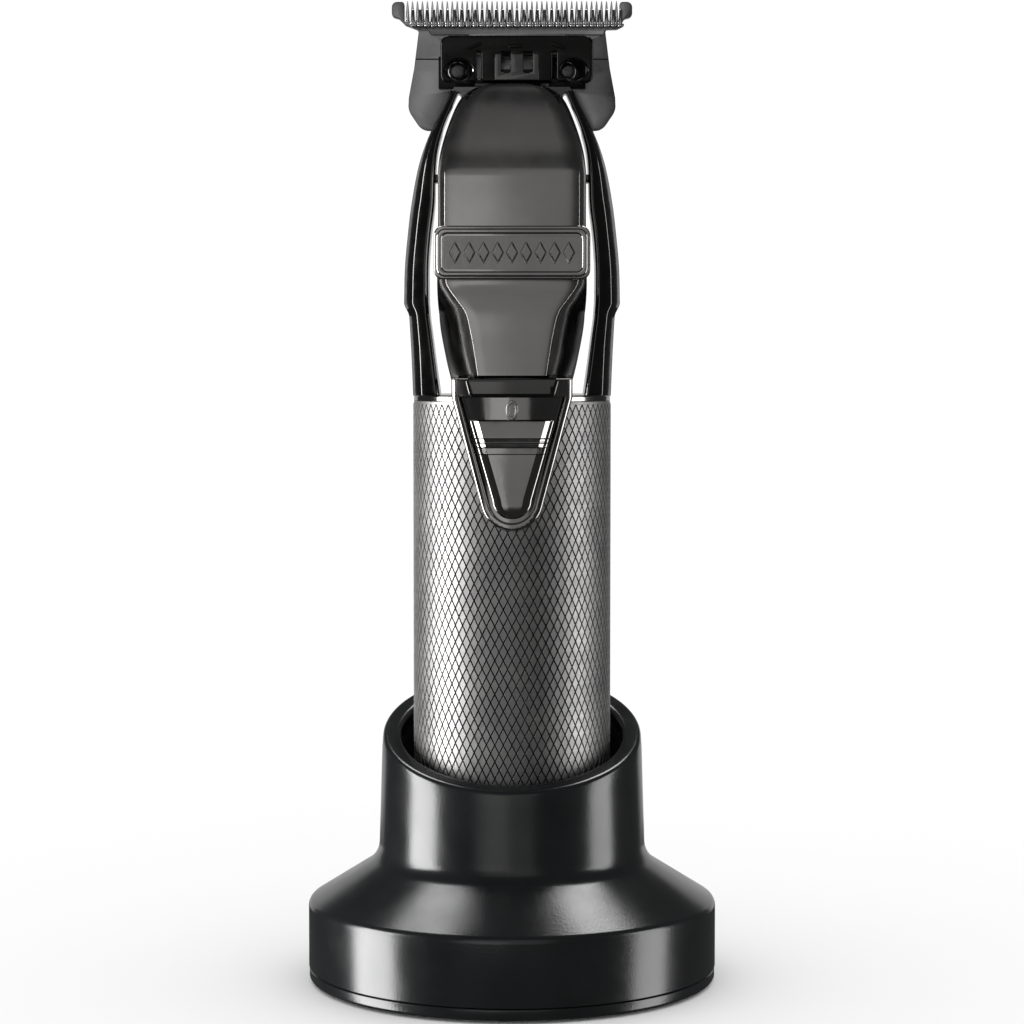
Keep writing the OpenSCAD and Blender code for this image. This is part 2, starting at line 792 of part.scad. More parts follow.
module cover_screws() {
    color("#9a9da1") at_cover_screws() {
        rod_y(cover_head_r, cover_head_y, cover_head_y + 1.2);
        rod_y(cover_screw_r - 0.02, -7.5, cover_head_y);
    }
}

// The room inside the lid and the rear cover, drawn in by t
module head_room(t) {
    difference() {
        lid_solid(lid_wall + t, split_y);
        bar(big, -big, big, 0, lid_z + lid_wall);
    }
    difference() {
        cover_solid(lid_wall + t, split_y);
        bar(big, -big, big, 0, cover_z + lid_wall);
    }
}

module motor_cradle() {
    color("#26282b") difference() {
        intersection() {
            rod_z(motor_r + cradle_wall, cover_z, motor_z + cradle_h);
            head_room(part_gap);
        }
        rod_z(motor_r + fit_gap, motor_z, big);
        rod_z(motor_r - 1.5, 0, motor_z + 1);
        at_cover_screws() rod_y(cover_boss_r + 0.2, -20, 20);
    }
}

module motor_can() {
    color("#b4b7ba") difference() {
        rod_z(motor_r, motor_z, motor_top);
        rod_z(bush_r, motor_top - bush_h, motor_top + 1);
        rod_z(shaft_r + fit_gap, motor_z + 3, motor_top + 1);
    }
}

module motor_bush() {
    color("#b08d3c") difference() {
        union() {
            rod_z(bush_r, motor_top - bush_h, motor_top);
            rod_z(bush_flange_r, motor_top, motor_top + bush_flange_t);
        }
        rod_z(shaft_r + fit_gap, 0, big);
    }
}

module motor_shaft() {
    color("#c4c7ca") rod_z(shaft_r, motor_z + 3.2, eccentric_z + eccentric_h - 1);
}

module eccentric() {
    color("#c9b27a") {
        difference() {
            union() {
                rod_z(eccentric_r, eccentric_z, eccentric_z + eccentric_h);
                intersection() {
                    rod_z(eccentric_r + 1.4, eccentric_z, eccentric_z + 2.2);
                    translate([-20, -20, 0]) cube([20, 40, big]);
                }
            }
            rod_z(shaft_r, eccentric_z - 1, eccentric_z + eccentric_h - 1);
        }
        translate([throw, 0, 0]) rod_z(crank_pin_r, eccentric_z + eccentric_h, crank_pin_top);
    }
}

// ---- Blades ----

// Points of a row of teeth that taper from their feet to their tips, from right to left
function teeth(count, width, foot_z, tip_z, foot_share, tip_share) =
    let (pitch = width / count, foot = pitch * foot_share / 2, tip = pitch * tip_share / 2)
        [for (i = [0:count - 1]) let (x = width / 2 - (i + 0.5) * pitch)
            each [[x + foot, foot_z], [x + tip, tip_z], [x - tip, tip_z], [x - foot, foot_z]]];

// The same points on the left-hand side, in reverse order
function flip(points) = [for (i = [len(points) - 1:-1:0]) [-points[i][0], points[i][1]]];

module fixed_blade() {
    half = blade_w / 2;
    body = half - 4.5;
    low = half - 2.8;
    wing_r = 4.8;
    teeth_w = blade_w - 2 * end_lug_w;
    // right-hand edge: notch for the neck, wing, body, end lug
    edge = concat([[neck_w / 2 - 0.4, bracket_z - 0.3], [neck_w / 2 + 2.6, blade_low_z + 0.2]],
        arc([low - wing_r, blade_low_z + wing_r], wing_r, -80, 0, 8),
        [[low, bracket_z - 1.6], [low - 0.9, bracket_z + 3], [body, blade_root_z - 1.4],
            [half - 1.2, blade_root_z - 0.6]],
        arc([half - 1.6, blade_root_z + 1.1], 1.6, -50, 90, 8),
        arc([half - end_lug_w + 0.6, blade_root_z + 2.1], 0.6, 90, 180, 4),
        [[half - end_lug_w, blade_root_z]]);
    color("#b9bbbe") difference() {
        slab(blade_y, blade_back)
            polygon(concat(edge, teeth(blade_teeth, teeth_w, blade_root_z, blade_tip_z, 0.78, 0.24),
                flip(edge)));
        // the tips are ground back to a thin edge
        translate([0, blade_back, blade_tip_z]) rotate([24, 0, 0])
            translate([-big / 2, -0.6, -big / 2]) cube(big);
        both_sides() translate([blade_screw_x, 0, blade_screw_z]) rod_y(blade_screw_r + 0.1, 0, 10);
    }
}

module blade_bracket() {
    color("#1a1b1c") difference() {
        slab(bracket_front, blade_y) translate([-bracket_r, bracket_z])
            square([2 * bracket_r, bracket_top - bracket_z]);
        // window for the cutter's bosses and the spring
        bar(bracket_r - bracket_post_w, -big, big, blade_screw_z + 2, bracket_top - 0.9);
        bar(prong_r + 2 * throw + 0.2, -big, big, 0, blade_screw_z + 3);
        // room for the cutter
        bar(big / 2, cutter_front - part_gap, big, cutter_low_z - 0.2, big);
        both_sides() translate([blade_screw_x, 0, blade_screw_z]) {
            rod_y(blade_screw_r + 0.1, -10, 10);
            rod_y(blade_head_r + 0.1, -10, bracket_front + 1);
        }
    }
}

module blade_mount() {
    half = mount_half;
    color("#2e3033") difference() {
        union() {
            slab(blade_back, blade_back + mount_t) both_sides() polygon([[0, bracket_z - 0.3],
                [half - 1, bracket_z - 0.3], [half, bracket_z + 0.7], [half, bracket_top - 2.2],
                [half - 1.5, bracket_top - 0.7], [0, bracket_top - 0.7]]);
            bar(neck_half, blade_y, blade_back + mount_t, neck_low_z + 0.2, bracket_z - 0.3);
        }
        both_sides() translate([blade_screw_x, 0, blade_screw_z])
            rod_y(blade_screw_r, 0, blade_back + mount_t - 0.8);
        both_sides() translate([mount_screw_x, 0, mount_screw_z]) {
            rod_y(1, 0, 20);
            rod_y(mount_head_r + 0.1, mount_head_y, 20);
        }
    }
}

module blade_screws() {
    color("#c4c7ca") both_sides() translate([blade_screw_x, 0, blade_screw_z]) {
        difference() {
            rod_y(blade_head_r, bracket_front + 0.1, bracket_front + 1);
            bar(0.25, -10, bracket_front + 0.5, -0.9, 0.9);
            bar(0.9, -10, bracket_front + 0.5, -0.25, 0.25);
        }
        rod_y(blade_screw_r - 0.02, bracket_front + 1, blade_back + 2);
    }
}

module mount_screws() {
    color("#9a9da1") both_sides() translate([mount_screw_x, 0, mount_screw_z]) {
        rod_y(mount_head_r, mount_head_y, blade_back + mount_t - 0.1);
        rod_y(0.83, neck_front + 1.4, mount_head_y);
    }
}

// U of spring wire that holds the cutter down on the fixed blade
module tension_spring() {
    low = spring_z;
    high = cutter_low_z + 1.4;
    color("#d5d8db") {
        both_sides() {
            translate([spring_x, spring_y, low]) cylinder(r = spring_r, h = high - low);
            translate([spring_x, spring_y, low]) sphere(spring_r);
            translate([spring_x, spring_y, high]) sphere(spring_r);
            translate([spring_x, 0, high]) rod_y(spring_r, spring_y, cutter_front - fit_gap);
        }
        translate([-spring_x, spring_y, low]) rotate([0, 90, 0]) cylinder(r = spring_r, h = 2 * spring_x);
    }
}

// The yoke and the cutter stand at the right-hand end of their stroke
module at_stroke() {
    translate([throw, 0, 0]) children();
}

module yoke_face() {
    half = yoke_w / 2;
    corner = 1.3;
    difference() {
        polygon(concat(arc([half - corner, yoke_z + corner], corner, -90, 0, 5),
            arc([half - corner, yoke_top - corner], corner, 0, 90, 5),
            arc([-half + corner, yoke_top - corner], corner, 90, 180, 5),
            arc([-half + corner, yoke_z + corner], corner, 180, 270, 5)));
        // lens-shaped openings over the blade screws
        both_sides() translate([blade_screw_x + 0.4, blade_screw_z]) intersection() {
            translate([0, -2.3]) circle(3.9);
            translate([0, 2.3]) circle(3.9);
        }
        // slits over the spring's legs
        both_sides() translate([spring_x - 0.3, yoke_z + 0.55]) square([0.6, 4.4]);
        // windows between the three prongs of the comb
        for (x = [-2.1, 2.1]) translate([x, 0]) {
            translate([0, yoke_z + 1.6]) circle(1.05);
            translate([-1.05, yoke_z + 1.6]) square([2.1, 3]);
        }
        both_sides() translate([4.2, yoke_z + 0.5]) square([0.5, 4.1]);
    }
}

module drive_yoke() {
    color("#17181a") at_stroke() {
        slab(yoke_front, yoke_back) yoke_face();
        // bosses that reach through the bracket to the cutter
        both_sides() translate([2.9, 0, 0])
            bar(1.6, yoke_back, cutter_front, blade_screw_z + 2.4, yoke_top - 0.3);
        // tail with the two prongs beside the eccentric's pin
        bar(prong_r, yoke_back, blade_y - 0.3, tail_z, tail_z + 1.2);
        difference() {
            bar(prong_r, -2.4, blade_y - 0.3, prong_low_z, tail_z);
            bar(prong_gap, -10, 10, 0, crank_pin_top + 0.6);
        }
    }
}

module cutter() {
    half = cutter_w / 2;
    waist = half - 3.4;
    shoulder_z = bracket_top + 1.2;
    tail = bracket_r - bracket_post_w - 0.2;
    edge = concat([[tail, cutter_low_z], [tail, bracket_top + 0.5], [waist, bracket_top + 0.5],
        [waist, shoulder_z], [half - 0.9, shoulder_z + 0.1]],
        arc([half - 0.6, root_z - 0.7], 0.6, -90, 0, 4), [[half, root_z - 0.1]]);
    color("#c9cbce") at_stroke() difference() {
        slab(cutter_front, cutter_back)
            polygon(concat(edge, teeth(cutter_teeth, cutter_w, root_z, cutter_tip_z, 0.66, 0.34),
                flip(edge)));
        translate([0, cutter_front, cutter_tip_z]) rotate([-26, 0, 0])
            translate([-big / 2, -big + 0.35, -big / 2]) cube(big);
    }
}

stand_shell();
charging_cup();
base_plate();
foot_ring();
ballast_ring();
stand_board();
power_inlet();
base_screws();
left_pin();
right_pin();
left_pin_spring();
right_pin_spring();
grip_sleeve();
end_cap();
cap_seal();
charge_contacts();
cell_carrier();
battery_cell();
control_board();
slide_switch();
switch_bezel();
thumb_slider();
head_frame();
front_lid();
nameplate();
rear_cover();
cover_screws();
motor_cradle();
motor_can();
motor_bush();
motor_shaft();
eccentric();
fixed_blade();
blade_bracket();
blade_mount();
blade_screws();
mount_screws();
tension_spring();
drive_yoke();
cutter();
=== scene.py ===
"""Cordless T-blade trimmer in its charging stand: the visual model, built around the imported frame."""

from math import acos, atan2, cos, pi, radians, sin, sqrt, tan

import bmesh
import bpy
from mathutils import Matrix, Vector


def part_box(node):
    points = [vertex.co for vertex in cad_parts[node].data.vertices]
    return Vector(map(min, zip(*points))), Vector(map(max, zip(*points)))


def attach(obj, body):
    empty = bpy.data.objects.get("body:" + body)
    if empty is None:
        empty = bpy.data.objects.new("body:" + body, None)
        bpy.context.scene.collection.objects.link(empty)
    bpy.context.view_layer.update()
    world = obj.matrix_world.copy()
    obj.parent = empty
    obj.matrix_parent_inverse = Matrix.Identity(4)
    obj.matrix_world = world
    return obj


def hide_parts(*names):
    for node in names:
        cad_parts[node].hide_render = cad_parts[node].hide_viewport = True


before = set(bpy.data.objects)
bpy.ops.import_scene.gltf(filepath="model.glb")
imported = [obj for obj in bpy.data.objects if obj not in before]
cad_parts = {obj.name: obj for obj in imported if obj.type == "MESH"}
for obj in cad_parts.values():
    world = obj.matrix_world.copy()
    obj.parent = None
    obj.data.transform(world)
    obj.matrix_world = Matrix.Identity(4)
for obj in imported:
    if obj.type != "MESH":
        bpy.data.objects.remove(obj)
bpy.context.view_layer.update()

MM = 0.001

# ---------------------------------------------------------------------------
# Places, in millimetres, from the frame
# ---------------------------------------------------------------------------


def box(node):
    """Lowest and highest corner of a node."""
    low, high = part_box(node)
    return low / MM, high / MM


shell_low, shell_high = box("stand_shell")
cup_low, cup_high = box("charging_cup")
base_low = box("base_plate")[0]
foot_high = box("foot_ring")[1]
grip_low, grip_high = box("grip_sleeve")
cap_low, cap_high = box("end_cap")
bezel_low, bezel_high = box("switch_bezel")
slider_low, slider_high = box("thumb_slider")
frame_high = box("head_frame")[1]
lid_low, lid_high = box("front_lid")
plate_low, plate_high = box("nameplate")
cover_low, cover_high = box("rear_cover")
screws_low, screws_high = box("cover_screws")
blade_low, blade_high = box("fixed_blade")
bracket_low, bracket_high = box("blade_bracket")
mount_low, mount_high = box("blade_mount")
blade_screws_low, blade_screws_high = box("blade_screws")
mount_screws_low, mount_screws_high = box("mount_screws")
yoke_low, yoke_high = box("drive_yoke")
cutter_low, cutter_high = box("cutter")
inlet_low, inlet_high = box("power_inlet")

STAND_R = shell_high.x
GRIP_R = grip_high.x
BEZEL_R = -bezel_low.y  # front of the bezel, measured from the grip's axis
ARM_R = frame_high.x
STROKE = (cutter_low.x + cutter_high.x) / 2  # the cutter rests at one end of its stroke

# ---------------------------------------------------------------------------
# Making shapes: each function returns a bmesh in millimetres
# ---------------------------------------------------------------------------


def rounded(corners, steps=6, closed=True):
    """Points of an outline whose corners (a, b, radius) are replaced by arcs."""
    points = []
    count = len(corners)
    for i, corner in enumerate(corners):
        here = Vector(corner[:2])
        radius = corner[2] if len(corner) > 2 else 0
        if radius == 0 or (not closed and i in (0, count - 1)):
            points.append(tuple(here))
            continue
        back = (Vector(corners[i - 1][:2]) - here)
        on = (Vector(corners[(i + 1) % count][:2]) - here)
        room = min(back.length, on.length) * 0.49
        back.normalize()
        on.normalize()
        half_turn = acos(max(-1, min(1, back.dot(on)))) / 2
        reach = min(radius / tan(half_turn), room)
        radius = reach * tan(half_turn)
        middle = here + (back + on).normalized() * (radius / sin(half_turn))
        first = here + back * reach - middle
        sweep = pi - 2 * half_turn
        if back.x * on.y - back.y * on.x > 0:
            sweep = -sweep
        for step in range(steps + 1):
            turn = Matrix.Rotation(sweep * step / steps, 2)
            points.append(tuple(middle + turn @ first))
    return points


def rectangle(left, right, low, high, radius, upper_radius=None, steps=6):
    """An upright rectangle with rounded corners, whose upper two may have a radius of their own."""
    upper = radius if upper_radius is None else upper_radius
    corners = [(left, low, radius), (right, low, radius), (right, high, upper), (left, high, upper)]
    return rounded(corners, steps)


def mirrored(points):
    """The right-hand half of an outline, given bottom to top, with its left-hand half."""
    return list(points) + [(-p[0], *p[1:]) for p in reversed(points)]


def steps_at(rows, t):
    """Values at t in a table of rows (t, value, value...), on a smooth curve through them."""
    i = max(k for k in range(len(rows) - 1) if rows[k][0] <= t or k == 0)
    low, high = rows[i], rows[i + 1]
    gap = high[0] - low[0]
    u = min(1, max(0, (t - low[0]) / gap))
    before = rows[i - 1] if i else low
    after = rows[i + 2] if i + 2 < len(rows) else high
    values = []
    for k in range(1, len(low)):
        slope_low = (high[k] - before[k]) / (high[0] - before[0]) * gap
        slope_high = (after[k] - low[k]) / (after[0] - low[0]) * gap
        values.append(low[k] * (2 * u**3 - 3 * u**2 + 1) + slope_low * (u**3 - 2 * u**2 + u)
                      + high[k] * (3 * u**2 - 2 * u**3) + slope_high * (u**3 - u**2))
    return values


def skin(rings):
    """A closed solid through rings of points."""
    shape = bmesh.new()
    rows = [[shape.verts.new(point) for point in ring] for ring in rings]
    count = len(rows[0])
    for low, high in zip(rows, rows[1:]):
        for i in range(count):
            j = (i + 1) % count
            shape.faces.new((low[i], low[j], high[j], high[i]))
    shape.faces.new(rows[0])
    shape.faces.new(rows[-1])
    return shape


def lathe(profile, steps=96, rim=None):
    """Turns a profile of (radius, z) about Z. A third value of 1 hangs the point from the slanted rim."""
    shape = bmesh.new()
    rows = []
    for point in profile:
        radius, z = point[0], point[1]
        hung = len(point) > 2 and point[2] == 1
        if radius < 1e-6:
            rows.append([shape.verts.new((0, 0, z))])
            continue
        row = []
        for i in range(steps):
            angle = 2 * pi * i / steps
            x, y = radius * cos(angle), radius * sin(angle)
            row.append(shape.verts.new((x, y, z + (rim(y) if hung else 0))))
        rows.append(row)
    pairs = list(zip(rows, rows[1:]))
    if len(rows[0]) > 1 and len(rows[-1]) > 1:
        pairs.append((rows[-1], rows[0]))
    for low, high in pairs:
        for i in range(steps):
            j = (i + 1) % steps
            corners = [low[i % len(low)], low[j % len(low)], high[j % len(high)], high[i % len(high)]]
            corners = [c for k, c in enumerate(corners) if c not in corners[:k]]
            if len(corners) > 2:
                shape.faces.new(corners)
    return shape


def panel(outlines, front, back, edge=0.2, steps=2):
    """A plate seen from the front, with holes, between two values of Y and with its edges rounded."""
    curve = bpy.data.curves.new("panel", "CURVE")
    curve.dimensions = "2D"
    curve.fill_mode = "BOTH"
    curve.extrude = (back - front) / 2 - edge
    curve.bevel_depth = edge
    curve.bevel_resolution = steps
    curve.offset = -edge
    for outline in outlines:
        spline = curve.splines.new("POLY")
        spline.points.add(len(outline) - 1)
        for point, place in zip(spline.points, outline):
            point.co = (place[0], place[1], 0, 1)
        spline.use_cyclic_u = True
    holder = bpy.data.objects.new("panel", curve)
    bpy.context.scene.collection.objects.link(holder)
    view = bpy.context.evaluated_depsgraph_get()
    mesh = bpy.data.meshes.new_from_object(holder.evaluated_get(view))
    shape = bmesh.new()
    shape.from_mesh(mesh)
    bpy.data.objects.remove(holder)
    bpy.data.curves.remove(curve)
    bpy.data.meshes.remove(mesh)
    bmesh.ops.remove_doubles(shape, verts=shape.verts, dist=0.0005)
    for vert in shape.verts:
        x, z, depth = vert.co
        vert.co = (x, (front + back) / 2 - depth, z)
    return shape


def block(low, high, edge=0.0, steps=2):
    """A block between two corners, with its edges rounded."""
    shape = bmesh.new()
    bmesh.ops.create_cube(shape, size=1)
    size = Vector(high) - Vector(low)
    for vert in shape.verts:
        vert.co = Vector(low) + Vector(((vert.co.x + 0.5) * size.x, (vert.co.y + 0.5) * size.y,
                                        (vert.co.z + 0.5) * size.z))
    if edge:
        bmesh.ops.bevel(shape, geom=shape.edges[:], offset=edge, segments=steps, profile=0.5, affect="EDGES")
    return shape


def soften(shape, width, angle=30, steps=2):
    """Rounds every edge that is sharper than the angle."""
    bmesh.ops.recalc_face_normals(shape, faces=shape.faces)
    sharp = [e for e in shape.edges if len(e.link_faces) == 2 and e.calc_face_angle(0) > radians(angle)]
    bmesh.ops.bevel(shape, geom=sharp, offset=width, segments=steps, profile=0.5, affect="EDGES",
                    clamp_overlap=True)
    return shape


def sliced(shape, step, reach):
    """Cuts a shape into strips along X, so that it can be bent."""
    count = int(2 * reach / step)
    for i in range(1, count):
        x = -reach + 2 * reach * i / count
        bmesh.ops.bisect_plane(shape, geom=shape.verts[:] + shape.edges[:] + shape.faces[:],
                               plane_co=(x, 0, 0), plane_no=(1, 0, 0))
    return shape


def wrapped(shape, radius, step=0.8, reach=10):
    """Bends a shape that was made flat at the front round a cylinder of that radius."""
    sliced(shape, step, reach)
    for vert in shape.verts:
        vert.co.y += radius - sqrt(max(0, radius**2 - vert.co.x**2))
    return shape


def turned(shape, matrix):
    bmesh.ops.transform(shape, matrix=matrix, verts=shape.verts)
    return shape


def moved(shape, x=0, y=0, z=0):
    return turned(shape, Matrix.Translation((x, y, z)))


TO_BACK = Matrix.Rotation(-pi / 2, 4, "X")  # turns what points up towards the back
TO_FRONT = Matrix.Rotation(pi / 2, 4, "X")
TO_FLOOR = Matrix.Rotation(pi, 4, "X")


def rod(radius, start, end, steps=32):
    """A round rod along Z, to carve with."""
    return lathe([(0, start), (radius, start), (radius, end), (0, end)], steps=steps)


def middle_z(low, high):
    return (low.z + high.z) / 2


def joined(*shapes):
    whole = bmesh.new()
    for shape in shapes:
        mesh = bpy.data.meshes.new("part")
        shape.to_mesh(mesh)
        shape.free()
        whole.from_mesh(mesh)
        bpy.data.meshes.remove(mesh)
    return whole


def carved(shape, *cutters):
    """The shape with cutters taken away."""
    scene = bpy.context.scene.collection
    holders = []
    for part in (shape, joined(*cutters)):
        bmesh.ops.recalc_face_normals(part, faces=part.faces)
        mesh = bpy.data.meshes.new("carved")
        part.to_mesh(mesh)
        part.free()
        holder = bpy.data.objects.new("carved", mesh)
        scene.objects.link(holder)
        holders.append(holder)
    body, cutter = holders
    cut = body.modifiers.new("cut", "BOOLEAN")
    cut.operation = "DIFFERENCE"
    cut.solver = "EXACT"
    cut.object = cutter
    view = bpy.context.evaluated_depsgraph_get()
    mesh = bpy.data.meshes.new_from_object(body.evaluated_get(view))
    result = bmesh.new()
    result.from_mesh(mesh)
    for holder in holders:
        bpy.data.objects.remove(holder)
    bpy.data.meshes.remove(mesh)
    return result


def piece(name, shape, material, body, slot, *nodes, crease=35):
    """Makes a finished piece that rides on a body and stands for the nodes named."""
    bmesh.ops.recalc_face_normals(shape, faces=shape.faces)
    mesh = bpy.data.meshes.new(name)
    shape.to_mesh(mesh)
    shape.free()
    mesh.transform(Matrix.Scale(MM, 4))
    mesh.materials.append(material)
    mesh.shade_smooth()
    mesh.set_sharp_from_angle(angle=radians(crease))
    made = bpy.data.objects.new(name, mesh)
    bpy.context.scene.collection.objects.link(made)
    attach(made, body)
    if nodes:
        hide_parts(*nodes)
    return made


# ---------------------------------------------------------------------------
# Materials
# ---------------------------------------------------------------------------


def colour(code):
    """Linear colour from an sRGB hex code."""
    parts = [int(code[i:i + 2], 16) / 255 for i in (1, 3, 5)]
    return (*[c / 12.92 if c <= 0.04045 else ((c + 0.055) / 1.055) ** 2.4 for c in parts], 1)


def add(tree, kind, inputs=None, **settings):
    """Adds a node, sets its properties, and fills or links its inputs."""
    made = tree.nodes.new(kind)
    for key, value in settings.items():
        setattr(made, key, value)
    for key, value in (inputs or {}).items():
        if isinstance(value, bpy.types.NodeSocket):
            tree.links.new(value, made.inputs[key])
        else:
            made.inputs[key].default_value = value
    return made


def surface(name, **sockets):
    """A material with one principled shader, and its tree, shader and object coordinates in millimetres."""
    material = bpy.data.materials.new(name)
    material.use_nodes = True
    tree = material.node_tree
    shader = tree.nodes["Principled BSDF"]
    for key, value in sockets.items():
        shader.inputs[key.replace("_", " ")].default_value = value
    place = add(tree, "ShaderNodeTexCoord").outputs["Object"]
    per_mm = add(tree, "ShaderNodeVectorMath", {0: place, 1: (1000, 1000, 1000)}, operation="MULTIPLY")
    return material, tree, shader, per_mm.outputs[0]


def vary(tree, place, size_mm, low, high, detail=3, stretch=(1, 1, 1)):
    """A cloudy value between two limits whose patches are about size_mm across."""
    scaled = add(tree, "ShaderNodeVectorMath", {0: place, 1: [s / size_mm for s in stretch]},
                 operation="MULTIPLY")
    noise = add(tree, "ShaderNodeTexNoise", {"Vector": scaled.outputs[0], "Scale": 1.0, "Detail": detail})
    spread = add(tree, "ShaderNodeMapRange", {"Value": noise.outputs["Fac"], "From Min": 0.3, "From Max": 0.7,
                                             "To Min": low, "To Max": high})
    return spread.outputs["Result"]


def shade(tree, shader, mask, first, second):
    """Paints the base colour between two hex colours by a mask."""
    mix = add(tree, "ShaderNodeMix", {"Factor": mask}, data_type="RGBA")
    mix.inputs[6].default_value = colour(first)
    mix.inputs[7].default_value = colour(second)
    tree.links.new(mix.outputs[2], shader.inputs["Base Color"])


def emboss(tree, shader, height, depth_mm, strength=1.0):
    """Bumps the surface by a height that swings over depth_mm."""
    bump = add(tree, "ShaderNodeBump", {"Height": height, "Distance": depth_mm * MM, "Strength": strength})
    tree.links.new(bump.outputs["Normal"], shader.inputs["Normal"])


def finish(name, tints, gloss, grain, detail=3, gloss_along=(1, 1, 1), grain_along=(1, 1, 1), **sockets):
    """A material that varies a little. Each of tints, gloss and grain starts with its patch size in mm; two
    colours, two roughnesses or the depth of its bumps in mm follow."""
    material, tree, shader, place = surface(name, **sockets)
    shade(tree, shader, vary(tree, place, tints[0], 0, 1), tints[1], tints[2])
    rough = vary(tree, place, *gloss, stretch=gloss_along)
    tree.links.new(rough, shader.inputs["Roughness"])
    emboss(tree, shader, vary(tree, place, grain[0], 0, 1, detail, grain_along), grain[1])
    return material


def solder_mask():
    """Green solder mask over copper tracks that show through as lighter lines."""
    material, tree, shader, place = surface("solder_mask", Metallic=0.0, IOR=1.5)
    tracks = add(tree, "ShaderNodeTexBrick", {"Vector": place, "Scale": 0.8, "Mortar Size": 0.06})
    shade(tree, shader, tracks.outputs["Fac"], "#0f4a27", "#1d6a3c")
    tree.links.new(vary(tree, place, 2, 0.3, 0.45), shader.inputs["Roughness"])
    emboss(tree, shader, tracks.outputs["Fac"], 0.03)
    return material


def pale_studio_floor():
    """Matt white paper sweep under the object, with no gloss at all."""
    material, tree, shader, place = surface("pale_studio_floor", Metallic=0.0, Specular_IOR_Level=0.0,
                                            Roughness=1.0)
    shade(tree, shader, vary(tree, place, 300, 0, 1), "#fbfbfb", "#fdfdfd")
    return material


METAL = {"Metallic": 1.0}
PLASTIC = {"Metallic": 0.0, "IOR": 1.53}

# Black ABS moulded in a fine spark-eroded tool: glossy, but its highlights break up at their edges
STAND_ABS = finish("spark_textured_abs", (9, "#0c0d0e", "#101112"), (6, 0.17, 0.23), (0.35, 0.006), detail=4,
                   Specular_IOR_Level=0.4, **PLASTIC)
# Black ABS with a dull tool finish, for the inside of the cup
CUP_ABS = finish("matt_black_abs", (5, "#080808", "#0c0c0d"), (4, 0.45, 0.6), (0.3, 0.008), **PLASTIC)
# Glass-filled nylon with a polished skin: near black, with small flow marks in its gloss
YOKE_NYLON = finish("gloss_black_nylon", (2.5, "#030303", "#060605"), (1.6, 0.14, 0.26), (0.8, 0.006),
                    Specular_IOR_Level=0.1, **PLASTIC)
# Black silicone rubber, dull and slightly dusty
FOOT = finish("foot_rubber", (3, "#0d0d0d", "#181818"), (2, 0.7, 0.9), (0.4, 0.02), Metallic=0.0, IOR=1.45)
# Gunmetal-plated brass, rolled with a diamond knurl and tumbled: satin flats that mirror strip lights
KNURL = finish("knurled_gunmetal", (7, "#757474", "#868584"), (1.4, 0.42, 0.52), (0.25, 0.003), **METAL)
# Gunmetal plating over a finely blasted casting: soft gradients on flat faces, still crisp at the facets
SATIN = finish("satin_gunmetal", (12, "#7e7c7b", "#868483"), (3, 0.16, 0.22), (0.16, 0.001), **METAL)
# Gunmetal plating over a buffed casting: dark mirror with a faint haze from the mop
POLISHED = finish("polished_gunmetal", (8, "#7c7a79", "#858382"), (2, 0.08, 0.15), (1.2, 0.003),
                  gloss_along=(1, 1, 0.3), **METAL)
# Black nickel over a polished casting: almost black until it mirrors a light
BLACK_NICKEL = finish("black_nickel", (9, "#444343", "#4e4d4c"), (2.2, 0.09, 0.17), (1.1, 0.003), **METAL)
# Stainless blade steel, surface ground along its width: fine level lines that stretch the highlights
BLADE_STEEL = finish("ground_steel", (5, "#6c6c6d", "#848484"), (2.5, 0.25, 0.36), (0.9, 0.004), detail=4,
                     grain_along=(0.05, 3, 8), **METAL)
# Hardened cutter steel with ground and polished ramps: bright, with sharp glints
CUTTER_STEEL = finish("polished_steel", (2, "#9c9c9d", "#b6b6b6"), (1.0, 0.14, 0.28), (0.5, 0.003),
                      grain_along=(6, 1, 0.3), **METAL)
# Zinc-plated steel screws: grey, slightly cloudy
SCREW_STEEL = finish("zinc_screw_steel", (0.8, "#8f9094", "#b0b1b4"), (0.6, 0.22, 0.38), (0.3, 0.004),
                     **METAL)
# Blade screws blackened in a hot oxide bath, with an oily sheen
BLACK_SCREW = finish("black_oxide_steel", (0.8, "#3a3a3b", "#4c4c4d"), (0.6, 0.2, 0.34), (0.3, 0.004),
                     **METAL)
# Bright drawn spring wire
SPRING_WIRE = finish("drawn_spring_wire", (0.7, "#b9babd", "#d2d3d5"), (0.5, 0.12, 0.25), (0.3, 0.002),
                     **METAL)
# Gold flash over nickel on the charging contacts
GOLD = finish("gold_flash", (0.9, "#d9b45c", "#e8c878"), (0.7, 0.15, 0.3), (0.4, 0.002), **METAL)
# Free-machining brass with the fine rings of a lathe tool
BRASS = finish("turned_brass", (2, "#b8964a", "#cfae62"), (1.5, 0.25, 0.4), (0.4, 0.006),
               grain_along=(0.2, 0.2, 5), **METAL)
# Deep-drawn, nickel-plated motor can with faint draw lines
MOTOR_STEEL = finish("drawn_motor_steel", (4, "#a2a4a6", "#b5b6b8"), (2, 0.25, 0.4), (0.8, 0.005),
                     grain_along=(4, 4, 0.2), **METAL)
# Green PVC shrink sleeve, tight over the cell and slightly wrinkled
SLEEVE = finish("shrink_sleeve", (10, "#1f6b43", "#27794e"), (3, 0.25, 0.4), (2.0, 0.04),
                grain_along=(1, 1, 3), **PLASTIC)
BOARD = solder_mask()
# Charcoal nylon with a grained mould finish, for the carriers inside
NYLON = finish("moulded_nylon", (4, "#202224", "#2a2c2e"), (2, 0.45, 0.6), (0.3, 0.012), **PLASTIC)

# ---------------------------------------------------------------------------
# Geometry node trees
# ---------------------------------------------------------------------------


